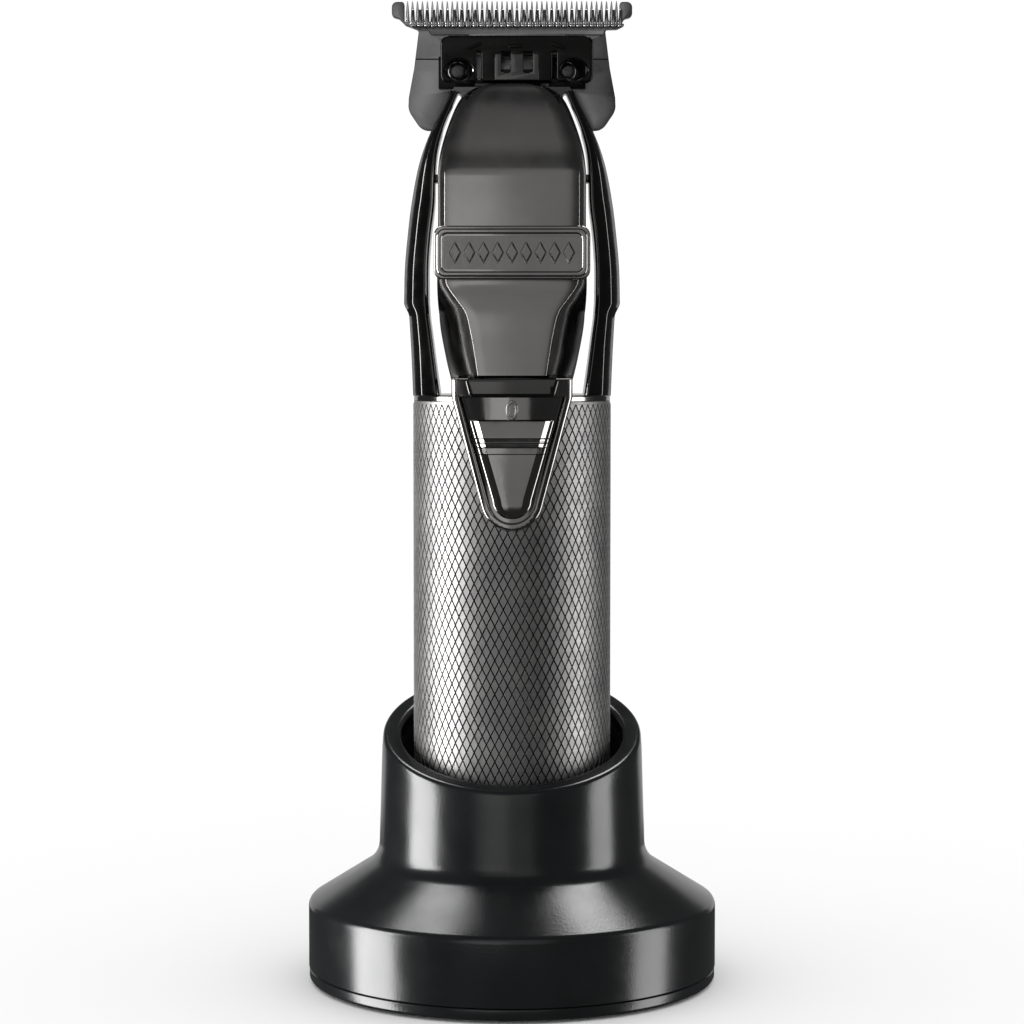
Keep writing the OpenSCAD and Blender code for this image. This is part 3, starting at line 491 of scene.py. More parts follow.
def copies_tree(name, floats, build):
    """A tree with an item to copy, named sizes and a finish. build makes the points and their turn."""
    tree = bpy.data.node_groups.new(name, "GeometryNodeTree")
    inputs = [("Geometry", "Geometry"), ("Item", "Object"), ("Finish", "Material"), ("Count", "Int")]
    for label, kind in inputs + [(size, "Float") for size in floats]:
        tree.interface.new_socket(label, in_out="INPUT", socket_type="NodeSocket" + kind)
    tree.interface.new_socket("Geometry", in_out="OUTPUT", socket_type="NodeSocketGeometry")
    given = add(tree, "NodeGroupInput").outputs
    points, turn = build(tree, given)
    item = add(tree, "GeometryNodeObjectInfo", {"Object": given["Item"]})
    inputs = {"Points": points, "Instance": item.outputs["Geometry"]}
    if turn is not None:
        inputs["Rotation"] = turn
    placed = add(tree, "GeometryNodeInstanceOnPoints", inputs)
    real = add(tree, "GeometryNodeRealizeInstances", {"Geometry": placed.outputs["Instances"]})
    painted = add(tree, "GeometryNodeSetMaterial", {"Geometry": real.outputs["Geometry"],
                                                   "Material": given["Finish"]})
    add(tree, "NodeGroupOutput", {"Geometry": painted.outputs["Geometry"]})
    return tree


def arithmetic(tree, operation, *values):
    """The result of one arithmetic node."""
    return add(tree, "ShaderNodeMath", dict(enumerate(values)), operation=operation).outputs[0]


def row_points(tree, given):
    """Points in a row along X, centred on Middle."""
    span = arithmetic(tree, "ADD", given["Count"], -1.0)
    width = arithmetic(tree, "MULTIPLY", span, given["Pitch"])
    start = arithmetic(tree, "MULTIPLY_ADD", width, -0.5, given["Middle"])
    first = add(tree, "ShaderNodeCombineXYZ", {"X": start})
    step = add(tree, "ShaderNodeCombineXYZ", {"X": given["Pitch"]})
    line = add(tree, "GeometryNodeMeshLine", {"Count": given["Count"], "Start Location": first.outputs[0],
                                             "Offset": step.outputs[0]}, mode="OFFSET")
    return line.outputs["Mesh"], None


def knurl_points(tree, given):
    """Points on the axis, one a diamond: rings half a diamond apart, every other one turned half a pitch."""
    index = add(tree, "GeometryNodeInputIndex").outputs[0]
    line = add(tree, "GeometryNodeMeshLine", {"Count": given["Count"]}, mode="OFFSET")
    ring = arithmetic(tree, "FLOOR", arithmetic(tree, "DIVIDE", index, given["Starts"]))
    column = arithmetic(tree, "MODULO", index, given["Starts"])
    odd = arithmetic(tree, "MODULO", ring, 2.0)
    shifted = arithmetic(tree, "MULTIPLY_ADD", odd, 0.5, column)
    share = arithmetic(tree, "DIVIDE", shifted, given["Starts"])
    angle = arithmetic(tree, "MULTIPLY", share, 2 * pi)
    height = arithmetic(tree, "MULTIPLY_ADD", ring, given["Ring step"], given["Base"])
    place = add(tree, "ShaderNodeCombineXYZ", {"Z": height})
    lifted = add(tree, "GeometryNodeSetPosition", {"Geometry": line.outputs["Mesh"],
                                                  "Position": place.outputs[0]})
    turn = add(tree, "ShaderNodeCombineXYZ", {"Z": angle})
    return lifted.outputs["Geometry"], turn.outputs[0]


def grown(tree, item, finish, count, **sizes):
    """The shape that a copies tree makes from an item, in millimetres."""
    mesh = bpy.data.meshes.new("item")
    bmesh.ops.recalc_face_normals(item, faces=item.faces)
    item.to_mesh(mesh)
    item.free()
    thing = bpy.data.objects.new("item", mesh)
    holder = bpy.data.objects.new("grown", bpy.data.meshes.new("grown"))
    for made in (thing, holder):
        bpy.context.scene.collection.objects.link(made)
    modifier = holder.modifiers.new("grow", "NODES")
    modifier.node_group = tree
    values = {"Item": thing, "Finish": finish, "Count": count}
    values.update({key.replace("_", " "): value for key, value in sizes.items()})
    for socket in tree.interface.items_tree:
        if socket.item_type == "SOCKET" and socket.in_out == "INPUT" and socket.name in values:
            modifier[socket.identifier] = values[socket.name]
    view = bpy.context.evaluated_depsgraph_get()
    result = bpy.data.meshes.new_from_object(holder.evaluated_get(view))
    holder.modifiers.remove(modifier)
    shape = bmesh.new()
    shape.from_mesh(result)
    for made in (thing, holder):
        bpy.data.objects.remove(made)
    bpy.data.meshes.remove(result)
    return shape


ROW = copies_tree("row_of_teeth", ["Pitch", "Middle"], row_points)
DIAMONDS = copies_tree("diamond_knurl", ["Starts", "Ring step", "Base"], knurl_points)

# ---------------------------------------------------------------------------
# Charging stand
# ---------------------------------------------------------------------------

RIM_R = 21.6  # outside radius of the collar at its rim
RIM_FALL = 14.6  # the rim is this much lower at the front than at the back
LIP_R = cup_high.x - 1.4  # the lip stands in as far as the cup's bore
LIP_DEPTH = 2.5
SLOPE = RIM_FALL / (2 * RIM_R)
PLUG_HOLE_R = 3.3
CHARGE_PIN_X = 5
CHARGE_PIN_HOLE_R = 1.3
BASE_SCREW_RING = STAND_R - 7.6
BASE_SCREW_HOLE_R = 2.4
BASE_SCREWS = [(BASE_SCREW_RING * cos(radians(a)), BASE_SCREW_RING * sin(radians(a))) for a in (30, 150, 270)]


def rim_height(y):
    return shell_high.z + SLOPE * (y - RIM_R)


def stand_moulding():
    wall_top = 13.5
    shoulder = radians(32)
    collar = 22.4
    slope_top = wall_top + (STAND_R - collar) * tan(shoulder)
    outside = rounded([(STAND_R - 0.3, shell_low.z + 0.12), (STAND_R, shell_low.z + 0.12, 0.25),
                       (STAND_R, wall_top, 1.5), (collar, slope_top, 4.6),
                       (RIM_R + 0.25, rim_height(-RIM_R) - 3)], steps=8, closed=False)
    lip = rounded([(RIM_R + 0.2, -2.5), (RIM_R, 0, 0.75), (LIP_R, -0.1, 0.9), (LIP_R, -LIP_DEPTH)],
                  steps=6, closed=False)
    inside = [(cup_high.x + 0.05, 17.9), (STAND_R - 2, 11.4), (STAND_R - 2, shell_low.z + 0.12)]
    profile = outside[:-1] + [(r, z, 1) for r, z in lip] + [(cup_high.x + 0.05, -LIP_DEPTH, 1)] + inside
    shape = lathe(profile, steps=192, rim=rim_height)
    plug = moved(turned(rod(PLUG_HOLE_R, 20, 50, 40), TO_BACK), z=middle_z(inlet_low, inlet_high))
    return carved(shape, plug)


def cup_moulding():
    floor_top = cap_low.z
    bore, guide = LIP_R, GRIP_R + 0.2
    profile = [(0, cup_low.z), (cup_high.x, cup_low.z), (cup_high.x, -LIP_DEPTH, 1), (bore, -LIP_DEPTH, 1)]
    inner = rounded([(bore, floor_top + 6), (bore, floor_top + 3.6, 0.6), (guide, floor_top + 3, 0.4),
                     (guide, floor_top, 0.5), (0, floor_top)], closed=False)
    shape = lathe(profile + inner, steps=120, rim=rim_height)
    pins = [moved(rod(CHARGE_PIN_HOLE_R, 0, 20, 24), x) for x in (-CHARGE_PIN_X, CHARGE_PIN_X)]
    return carved(shape, *pins)


def base_moulding():
    top = shell_low.z
    groove_out = foot_high.x
    profile = rounded([(0, base_low.z), (groove_out - 2.9, base_low.z), (groove_out - 2.9, base_low.z + 0.6),
                       (groove_out + 0.05, base_low.z + 0.6), (groove_out + 0.05, base_low.z),
                       (STAND_R - 0.1, base_low.z, 0.5), (STAND_R - 0.1, top, 0.3), (0, top)], closed=False)
    shape = lathe(profile, steps=192)
    return carved(shape, *[moved(rod(BASE_SCREW_HOLE_R, -1, 1.4, 24), x, y) for x, y in BASE_SCREWS])


def foot_moulding():
    out = foot_high.x
    return lathe(rounded([(out - 2.55, foot_high.z), (out - 2.55, 0, 0.35), (out - 0.05, 0, 0.35),
                          (out - 0.05, foot_high.z)], closed=True), steps=160)


def inlet_socket():
    """Barrel socket behind the hole in the shell's back, with its centre pin."""
    front, back = inlet_low.y, inlet_high.y
    bore = rounded([(0, back - 9), (2.85, back - 9, 0.3), (2.85, back - 0.4), (3.1, back), (3.6, back, 0.2),
                    (3.6, back - 0.8), (3.9, back - 0.8, 0.2), (3.9, front, 0.2), (0, front)], closed=False)
    pin = rounded([(0, back - 9.5), (0.8, back - 9.5), (0.8, back - 1.2, 0.3), (0, back - 0.9)], closed=False)
    place = Matrix.Translation((0, 0, middle_z(inlet_low, inlet_high))) @ TO_BACK
    return turned(lathe(bore, steps=48), place), turned(lathe(pin, steps=24), place)


def screw_head(radius, height, drive=0.62):
    """Pan head with a cross recess, its underside at z = 0 and its face up."""
    head = lathe(rounded([(0, 0), (radius, 0, 0.1), (radius, height * 0.75, height * 0.5),
                          (radius * 0.5, height), (0, height)], closed=False), steps=32)
    arm, slot = radius * drive, radius * 0.13
    cross = joined(block((-arm, -slot, height * 0.35), (arm, slot, height + 1)),
                   block((-slot, -arm, height * 0.35), (slot, arm, height + 1)))
    return carved(head, cross)


def screw_heads(radius, height, facing, places):
    """Equal screw heads that all face one way."""
    return joined(*[moved(turned(screw_head(radius, height), facing), *place) for place in places])


def base_screw_set():
    return screw_heads(2.15, 0.75, TO_FLOOR, [(x, y, base_low.z + 0.9) for x, y in BASE_SCREWS])


piece("stand_shell_moulding", stand_moulding(), STAND_ABS, "stand", "stand_plastic", "stand_shell")
piece("charging_cup_moulding", cup_moulding(), CUP_ABS, "stand", "cup_plastic", "charging_cup")
piece("base_plate_moulding", base_moulding(), STAND_ABS, "stand", "base_plastic", "base_plate")
piece("foot_ring_moulding", foot_moulding(), FOOT, "stand", "foot_rubber", "foot_ring")
socket, socket_pin = inlet_socket()
piece("inlet_body", socket, CUP_ABS, "stand", "inlet_plastic", "power_inlet")
piece("inlet_centre_pin", socket_pin, SCREW_STEEL, "stand", "screw_steel")
piece("base_screw_heads", base_screw_set(), SCREW_STEEL, "stand", "screw_steel", "base_screws")

# ---------------------------------------------------------------------------
# Handle
# ---------------------------------------------------------------------------

BEZEL_TIP_R = 5.1
BEZEL_LEAN = 0.27  # angle in radians between the V's sides and the vertical
BEZEL_TIP_Z = bezel_low.z + BEZEL_TIP_R
BEZEL_SHOULDER_Z = grip_high.z + 0.7  # the V ends here, and its sides go straight up
KNURL_STARTS = 74
KNURL_RING = 1.38  # half a diamond's height
KNURL_DEPTH = 0.38
KNURL_STEPS = ((0.38, 1), (0.07, 0.87), (0, 0.8))  # depth below the crest, and share of the pitch there


def knurl_diamond():
    """One diamond of the knurl, at the front of the grip: a worn flat top and four groove walls."""
    half_turn = pi / KNURL_STARTS
    rings = []
    for depth, share in KNURL_STEPS:
        radius = GRIP_R - depth
        side = half_turn * share
        rise = KNURL_RING * share
        rings.append([(0, -radius, -rise), (radius * sin(side), -radius * cos(side), 0),
                      (0, -radius, rise), (-radius * sin(side), -radius * cos(side), 0)])
    shape = bmesh.new()
    rows = [[shape.verts.new(p) for p in ring] for ring in rings]
    for low, high in zip(rows, rows[1:]):
        for i in range(4):
            j = (i + 1) % 4
            shape.faces.new((low[i], low[j], high[j], high[i]))
    shape.faces.new(rows[-1])
    return shape


def bezel_half(z, inset=0.0):
    """Half width of the bezel's V at a height."""
    low, high = BEZEL_TIP_R - inset, bezel_high.x - inset
    return low + (high - low) * min(1, max(0, (z - BEZEL_TIP_Z) / (BEZEL_SHOULDER_Z - BEZEL_TIP_Z)))


def knurled_grip():
    rings = int((grip_high.z - grip_low.z) / KNURL_RING) + 2
    shape = grown(DIAMONDS, knurl_diamond(), KNURL, KNURL_STARTS * rings, Starts=float(KNURL_STARTS),
                  Ring_step=KNURL_RING, Base=grip_low.z - KNURL_RING)
    bmesh.ops.remove_doubles(shape, verts=shape.verts, dist=0.01)
    for height, outwards in ((grip_high.z - 0.5, 1), (grip_low.z + 0.5, -1)):
        everything = shape.verts[:] + shape.edges[:] + shape.faces[:]
        bmesh.ops.bisect_plane(shape, geom=everything, plane_co=(0, 0, height), plane_no=(0, 0, outwards),
                               clear_outer=True)
    hidden = []
    for face in shape.faces:
        x, y, z = face.calc_center_median()
        if y < 0 and z > BEZEL_TIP_Z and abs(x) < bezel_half(z, 1.4):
            hidden.append(face)
    bmesh.ops.delete(shape, geom=hidden, context="FACES")
    return shape


def grip_core():
    """Plain bands at both ends of the knurl, with the sleeve's bore."""
    low, high = grip_low.z, grip_high.z
    root = GRIP_R - KNURL_DEPTH
    profile = rounded([(15, low), (GRIP_R - 0.15, low, 0.12), (GRIP_R - 0.1, low + 0.5, 0.1),
                       (root - 0.05, low + 0.8), (root - 0.05, high - 0.8), (GRIP_R - 0.1, high - 0.5, 0.1),
                       (GRIP_R - 0.15, high, 0.12), (15, high)])
    shape = lathe(profile, steps=148)
    gap = mirrored([(0.01, bezel_low.z + 1)] + [(bezel_half(BEZEL_TIP_Z + k * 4, 0.9), BEZEL_TIP_Z + k * 4)
                                               for k in range(6)])
    return carved(shape, panel([gap], -GRIP_R - 1, -9, edge=0.01))


def end_cap_moulding():
    return lathe(rounded([(0, cap_low.z + 0.35), (12, cap_low.z + 0.35), (12.6, cap_low.z),
                          (cap_high.x - 0.9, cap_low.z, 0.4), (cap_high.x, cap_low.z + 1.2, 0.8),
                          (cap_high.x, grip_low.z - 0.55, 0.1), (cap_high.x - 0.35, grip_low.z - 0.4),
                          (cap_high.x - 0.35, grip_low.z), (14.9, grip_low.z), (14.9, cap_high.z, 0.3),
                          (0, cap_high.z)], closed=False), steps=120)


def v_outline(inset, top, steps=16):
    """The bezel's outline: a V that leaves its round tip without a corner, and a flat top."""
    right = []
    radius = BEZEL_TIP_R - inset
    for i in range(steps + 1):
        angle = -pi / 2 + (pi / 2 - BEZEL_LEAN) * i / steps
        right.append((radius * cos(angle) + 1e-4, BEZEL_TIP_Z + radius * sin(angle)))
    right.append((bezel_half(BEZEL_SHOULDER_Z, inset), BEZEL_SHOULDER_Z))
    if top > BEZEL_SHOULDER_Z + 0.01:
        right.append((bezel_high.x - inset, top))
    return mirrored(right)


def bezel_rim():
    """Polished rim that stands proud of the knurl, with the floor of the switch's well."""
    window = v_outline(1.25, BEZEL_SHOULDER_Z)
    rim = panel([v_outline(0, bezel_high.z - 0.1), window], -BEZEL_R, -BEZEL_R + 2.2, edge=0.4, steps=3)
    floor_plate = panel([v_outline(0.7, grip_high.z + 1.5)], -BEZEL_R + 0.9, -BEZEL_R + 2.2, edge=0.05)
    wrapped(rim, BEZEL_R)
    wrapped(floor_plate, BEZEL_R)
    return joined(rim, floor_plate)


def bezel_pad():
    """Chamfered pad between the lid and the switch."""
    low, high = grip_high.z + 0.85, bezel_high.z - 0.15
    outline = mirrored([(6.8, low), (7.6, high)])
    shape = panel([rounded([(*p, 0.5) for p in outline])], -BEZEL_R - 0.35, -BEZEL_R + 2.4, edge=0.5, steps=1)
    return wrapped(shape, 4 * BEZEL_R)


def bezel_block():
    """The part of the bezel that stands on the deck, down to the frame."""
    wide = bezel_high.x
    across = [k * wide / 6 for k in range(-6, 7)]
    front = [(x, -sqrt((BEZEL_R - 0.5)**2 - x**2) + 0.2) for x in across]
    outline = [(-wide, -11), (-wide, -14.3)] + front + [(wide, -14.3), (wide, -11)]
    rings = [[(x, y, z) for x, y in outline] for z in (grip_high.z + 0.75, bezel_high.z)]
    return soften(skin(rings), 0.15, 50)


def zero_mark():
    """Raised oval off mark on the floor of the switch well."""
    middle = grip_high.z - 1.35
    ovals = [[(wide * cos(a * pi / 20), middle + tall * sin(a * pi / 20)) for a in range(40)]
             for wide, tall in ((0.98, 1.6), (0.5, 1.1))]
    shape = panel(ovals, -BEZEL_R + 0.72, -BEZEL_R + 1.0, edge=0.12)
    return wrapped(shape, BEZEL_R, step=0.5, reach=2)


SLIDER_TIP_R = 3.1
SLIDER_FLANK = 1.35  # width of the sloping border
# Rows for the slider: distance below its top, how far it stands out of the bezel
SLIDER_RAMP = [(0, 0.3), (0.22, 0.62), (2.6, 1.3), (2.9, 1.35), (3.08, 1.25), (3.12, 0.5), (3.66, 0.45),
               (3.7, 1.05), (3.85, 1.2), (4.4, 1.15), (4.52, 1.0), (4.56, 0.3), (5.5, 0.28), (5.62, 0.5)]
SLIDER_SHIELD = [(5.62 + k * 1.03, 0.5 - 0.01 * k) for k in range(1, 9)]
SLIDER_END = [(14.9, 0.42), (15.5, 0.16), (15.8, 0.05), (16.0, -0.06)]
SLIDER_ROWS = SLIDER_RAMP + SLIDER_SHIELD + SLIDER_END
RAMP_END = 5.4


def slider_half(z):
    tip = slider_low.z + SLIDER_TIP_R
    if z < tip:
        return sqrt(max(0.09, SLIDER_TIP_R**2 - (tip - z)**2))
    return SLIDER_TIP_R + (slider_high.x - SLIDER_TIP_R) * (z - tip) / (slider_high.z - tip)


def slider_ring(drop, proud):
    z = slider_high.z - drop
    half = slider_half(z)
    flat = max(half * 0.2, half - SLIDER_FLANK)
    front = -BEZEL_R - proud
    middle = flat + (half - flat) * 0.55
    fall = 0.67 if drop < RAMP_END else 0.3  # the ramp's flanks fall more steeply than the shield's
    edge = front + fall + 0.25
    right = [(half, -BEZEL_R + 1.2), (half, edge + 0.1), (half - 0.12, edge), (middle, front + fall),
             (flat, front)]
    return [(x, y, z) for x, y in mirrored(right)]


def slider_shield():
    """Thumb slider: a ramp with two ridges over a flat shield, inside a sloping border."""
    return soften(skin([slider_ring(drop, proud) for drop, proud in reversed(SLIDER_ROWS)]), 0.07, 17)


piece("grip_knurl", knurled_grip(), KNURL, "trimmer", "grip_metal", "grip_sleeve", crease=8)
piece("grip_core_tube", grip_core(), KNURL, "trimmer", "grip_metal")
piece("end_cap_moulding", end_cap_moulding(), CUP_ABS, "trimmer", "cap_plastic", "end_cap")
piece("bezel_rim", bezel_rim(), POLISHED, "trimmer", "bezel_metal", "switch_bezel")
piece("bezel_pad", bezel_pad(), BLACK_NICKEL, "trimmer", "bezel_metal")
piece("bezel_block", bezel_block(), BLACK_NICKEL, "trimmer", "bezel_metal")
piece("zero_mark", zero_mark(), POLISHED, "trimmer", "bezel_metal")
piece("slider_shield", slider_shield(), POLISHED, "slider", "slider_metal", "thumb_slider", crease=12)

# ---------------------------------------------------------------------------
# Head
# ---------------------------------------------------------------------------

# Rows for an arm: share of its height, outer edge from the widest, thickness, half depth
ARM_ROWS = [(0, -1.5, 4.5, 7.3), (0.1, -1.3, 4.0, 7.0), (0.2, -1.05, 3.6, 6.7), (0.255, -0.88, 3.4, 6.6),
            (0.265, -0.8, 3.45, 6.58), (0.295, -0.04, 4.1, 6.45), (0.305, 0, 4.1, 6.4),
            (0.42, -0.15, 3.95, 6.1), (0.52, -0.6, 3.85, 5.8), (0.62, -1.2, 3.85, 5.4),
            (0.73, -2.25, 3.0, 5.1), (0.8, -3.3, 2.35, 4.8), (0.87, -4.8, 1.85, 4.6), (1, -8.2, 1.2, 4.2)]


def arm(side):
    """One side arm, lofted upwards from the deck to the neck."""
    low, high = grip_high.z + 0.8, frame_high.z
    rings = []
    for i in range(101):
        t = i / 100
        edge, thick, deep = steps_at(ARM_ROWS, t)
        outer = ARM_R + edge
        inner = outer - thick
        facet = min(1.5, thick * 0.4)
        inset = min(0.5, thick * 0.15)
        z = low + (high - low) * t
        rear = min(deep, 1.35 + 8 * max(0, blade_low.z - 0.3 - z))  # drawn in where the blade passes behind
        lean = 0.34 * (outer - facet - inner)  # the front face turns outwards
        ring = [(inner + inset, -deep), (outer - facet, -deep + lean), (outer, -deep + lean + 2.2 * facet),
                (outer, rear - facet), (outer - facet, rear), (inner + inset, rear), (inner, rear - inset),
                (inner, -deep + inset)]
        rings.append([(side * x, y, z) for x, y in ring])
    return soften(skin(rings), 0.14, 25)


def frame_deck():
    low, high = grip_high.z, grip_high.z + 1
    profile = rounded([(6, low), (GRIP_R - 0.1, low, 0.1), (GRIP_R - 0.1, high, 0.35), (6, high, 0.1)])
    return lathe(profile, steps=120)


def frame_neck():
    """Bar above the lid that the arms run into, and the tongue that the lid hides."""
    top = frame_high.z
    outline = mirrored([(6.2, top - 6.4, 0), (8.3, top - 6.4, 0.3), (8.4, top - 1.2, 0.6),
                        (9.85, top - 0.7, 0.25), (9.6, top + 0.02, 0.2)])
    return panel([rounded(outline)], -4.2, blade_low.y - 0.02, edge=0.15)


def frame_lugs():
    """Small bridges between the arms and the covers."""
    height = lid_low.z + 0.67 * (lid_high.z - lid_low.z)
    return joined(*[block((x - 0.45, -2.5, height), (x + 0.45, 2.5, height + 1.3), 0.2)
                    for x in (-12.45, 12.45)])


# Rows for the lid: share of its length, half width, half of the flat face, front, depth of the flank
LID_ROWS = [(0, 9.8, 5.5, -16.6, 13.5), (0.07, 10.8, 6, -16, 13.5), (0.14, 11.4, 6.6, -15.4, 13.2),
            (0.215, 12.1, 7.5, -14.8, 12.6), (0.26, 12.25, 9.0, -14.3, 9.0), (0.32, 12.25, 10.7, -13.6, 4.4),
            (0.52, 12.05, 10.9, -13.5, 3.0), (0.685, 12.1, 10.9, -12.7, 3.0), (0.695, 12.1, 10.9, -12.6, 3.0),
            (0.76, 11.75, 10.3, -11.5, 3.2), (0.83, 10.9, 9.4, -10.4, 3.2), (0.9, 9.7, 8.2, -9.3, 3.0),
            (0.94, 8.8, 7.3, -8.65, 2.8), (0.965, 7.9, 6.4, -8.2, 2.5), (0.982, 6.8, 5.4, -7.9, 2.2),
            (0.992, 5.6, 4.3, -7.75, 1.9), (1, 3.6, 2.4, -7.6, 1.6)]
LID_CROWN = 0.5  # the flat face falls away by this much towards its edges


def lid_ring(t, back, z):
    half, flat, front, deep = steps_at(LID_ROWS, t)
    wide = half - flat
    brow = front + LID_CROWN * (flat / 11)**2
    right = [(half, back), (half, brow + deep), (flat + wide * 0.55, brow + deep * 0.45)]
    right += [(flat * k / 4, front + (brow - front) * (k / 4)**2) for k in (4, 3, 2, 1)]
    return [(x, y, z) for x, y in right] + [(0, front, z)] + [(-x, y, z) for x, y in reversed(right)]


def lid_casting():
    low, high = lid_low.z, lid_high.z
    rings = []
    for i in range(97):
        t = i / 96
        z = low + (high - low) * t
        back = -4.3 if z > high - 6.7 else -1.0
        rings.append(lid_ring(t, back, z))
    room = block((-6.5, -9.5, low + 1.5), (6.5, 0, high - 8))  # the motor turns in it
    return carved(soften(skin(rings), 0.07, 24), room)


# Rows for the rear cover: share of its length, half width, half of the flat face, back, depth of the flank
COVER_ROWS = [(0, 9.5, 5.5, 15, 4.5), (0.14, 11.0, 7, 14.4, 4.5), (0.3, 12.1, 8, 13.6, 4.3),
              (0.62, 12.0, 8.4, 12.6, 4), (0.85, 12.0, 8.4, 11.8, 4), (0.96, 11.1, 7.8, 11.0, 3.8),
              (1, 10.5, 7.2, 10.2, 3.5)]
COVER_SCREW_R = 1.7
COVER_SCREW_SEAT = 7.9
COVER_SCREWS = [(side * (screws_high.x - COVER_SCREW_R), z) for side in (-1, 1)
                for z in (screws_low.z + COVER_SCREW_R, screws_high.z - COVER_SCREW_R)]


def rear_cover_casting():
    low, high = cover_low.z, cover_high.z
    rings = []
    for i in range(73):
        t = i / 72
        half, flat, back, slant = steps_at(COVER_ROWS, t)
        wide = half - flat
        right = [(half, -0.95), (half, back - slant), (flat + wide * 0.88, back - slant * 0.62),
                 (flat + wide * 0.55, back - slant * 0.22), (flat, back)]
        z = low + (high - low) * t
        rings.append([(x, y, z) for x, y in right] + [(-x, y, z) for x, y in reversed(right)])
    shape = soften(skin(rings), 0.12, 22)
    wells = [moved(turned(rod(COVER_SCREW_R + 0.1, COVER_SCREW_SEAT, 20), TO_BACK), x, z=z)
             for x, z in COVER_SCREWS]
    heights = [low + 15 + k * 1.9 for k in range(9)]
    grooves = [block((-6.4, 12.35, z), (6.4, 20.35, z + 0.7), 0.3, 1) for z in heights]
    room = block((-6.2, -2, low + 1.5), (6.2, 9.5, high - 2))
    return carved(shape, room, *wells, *grooves)


def cover_screw_set():
    return screw_heads(COVER_SCREW_R, 1.15, TO_BACK, [(x, COVER_SCREW_SEAT, z) for x, z in COVER_SCREWS])


def nameplate_parts():
    """Plate with a raised bead and a sunk field, and the row of plain diamonds in it."""
    wide, tall = plate_high.x, (plate_high.z - plate_low.z) / 2
    middle = middle_z(plate_low, plate_high)
    front, back = plate_low.y, plate_high.y

    def frame_outline(inset, corner):
        a, b = wide - inset, tall - inset
        return rectangle(-a, a, middle - b, middle + b, corner, steps=8)
    base = panel([frame_outline(0, 1.6)], front + 0.35, back + 0.7, edge=0.3, steps=3)
    bead = panel([frame_outline(0.45, 1.4), frame_outline(1.35, 0.9)], front, front + 0.9, edge=0.34, steps=4)
    sunk = carved(base, panel([frame_outline(1.7, 0.7)], front - 1, front + 0.62, edge=0.02))
    marks = []
    for k in range(-4, 5):
        x = k * 2.3
        rhomb = rounded([(x - 1.0, middle, 0.08), (x, middle - 1.9, 0.12), (x + 1.0, middle, 0.08),
                         (x, middle + 1.9, 0.12)], steps=3)
        marks.append(panel([rhomb], front + 0.12, front + 0.8, edge=0.26, steps=3))
    return joined(sunk, bead), joined(*marks)


piece("side_arms", joined(arm(1), arm(-1)), BLACK_NICKEL, "trimmer", "frame_metal", "head_frame")
piece("frame_deck", frame_deck(), POLISHED, "trimmer", "frame_metal")
piece("frame_neck", joined(frame_neck(), frame_lugs()), BLACK_NICKEL, "trimmer", "frame_metal")
piece("front_lid_casting", lid_casting(), SATIN, "trimmer", "lid_metal", "front_lid")
piece("rear_cover_casting", rear_cover_casting(), SATIN, "trimmer", "lid_metal", "rear_cover")
piece("cover_screw_heads", cover_screw_set(), SCREW_STEEL, "trimmer", "screw_steel", "cover_screws")
nameplate, nameplate_marks = nameplate_parts()
piece("nameplate_frame", nameplate, POLISHED, "trimmer", "plate_metal", "nameplate", crease=12)
piece("nameplate_diamonds", nameplate_marks, POLISHED, "trimmer", "plate_metal", crease=12)

# ---------------------------------------------------------------------------
# Blades
# ---------------------------------------------------------------------------

BLADE_TEETH = 43
CUTTER_TEETH = 31
END_LUG = 2.2
SIDES = (-1, 1)
BLADE_SCREW_X = 9
MOUNT_SCREW_X = 7.3
BLADE_SCREW_R = 1.62


def fixed_tooth(pitch, root, tip, front, back):
    """Pointed tooth, ground back from behind to a thin edge."""
    rows = [(root - 0.4, 0.39, 0), (root, 0.39, 0), (root + 1.4, 0.3, 0), (tip - 0.3, 0.14, 0.9),
            (tip, 0.06, 1.25)]
    rings = []
    for z, share, ground in rows:
        half = pitch * share
        rings.append([(-half, front + 0.15, z), (-half * 0.6, front, z), (half * 0.6, front, z),
                      (half, front + 0.15, z), (half, back - ground, z), (-half, back - ground, z)])
    return skin(rings)


def cutter_tooth(pitch, root, tip, front, back):
    """Cutter tooth: a bright ramp that flares to a rounded foot."""
    rows = [(root - 0.5, 0.30, 0.0), (root - 0.12, 0.36, 0.0), (root + 0.25, 0.34, 0.03),
            (root + 0.8, 0.25, 0.2), (tip - 0.25, 0.18, 0.5), (tip, 0.13, 0.72)]
    rings = []
    for z, share, ramp in rows:
        half, face = pitch * share, front + ramp
        rings.append([(-half, face + 0.14, z), (-half * 0.55, face, z), (half * 0.55, face, z),
                      (half, face + 0.14, z), (half, back, z), (-half, back, z)])
    return skin(rings)


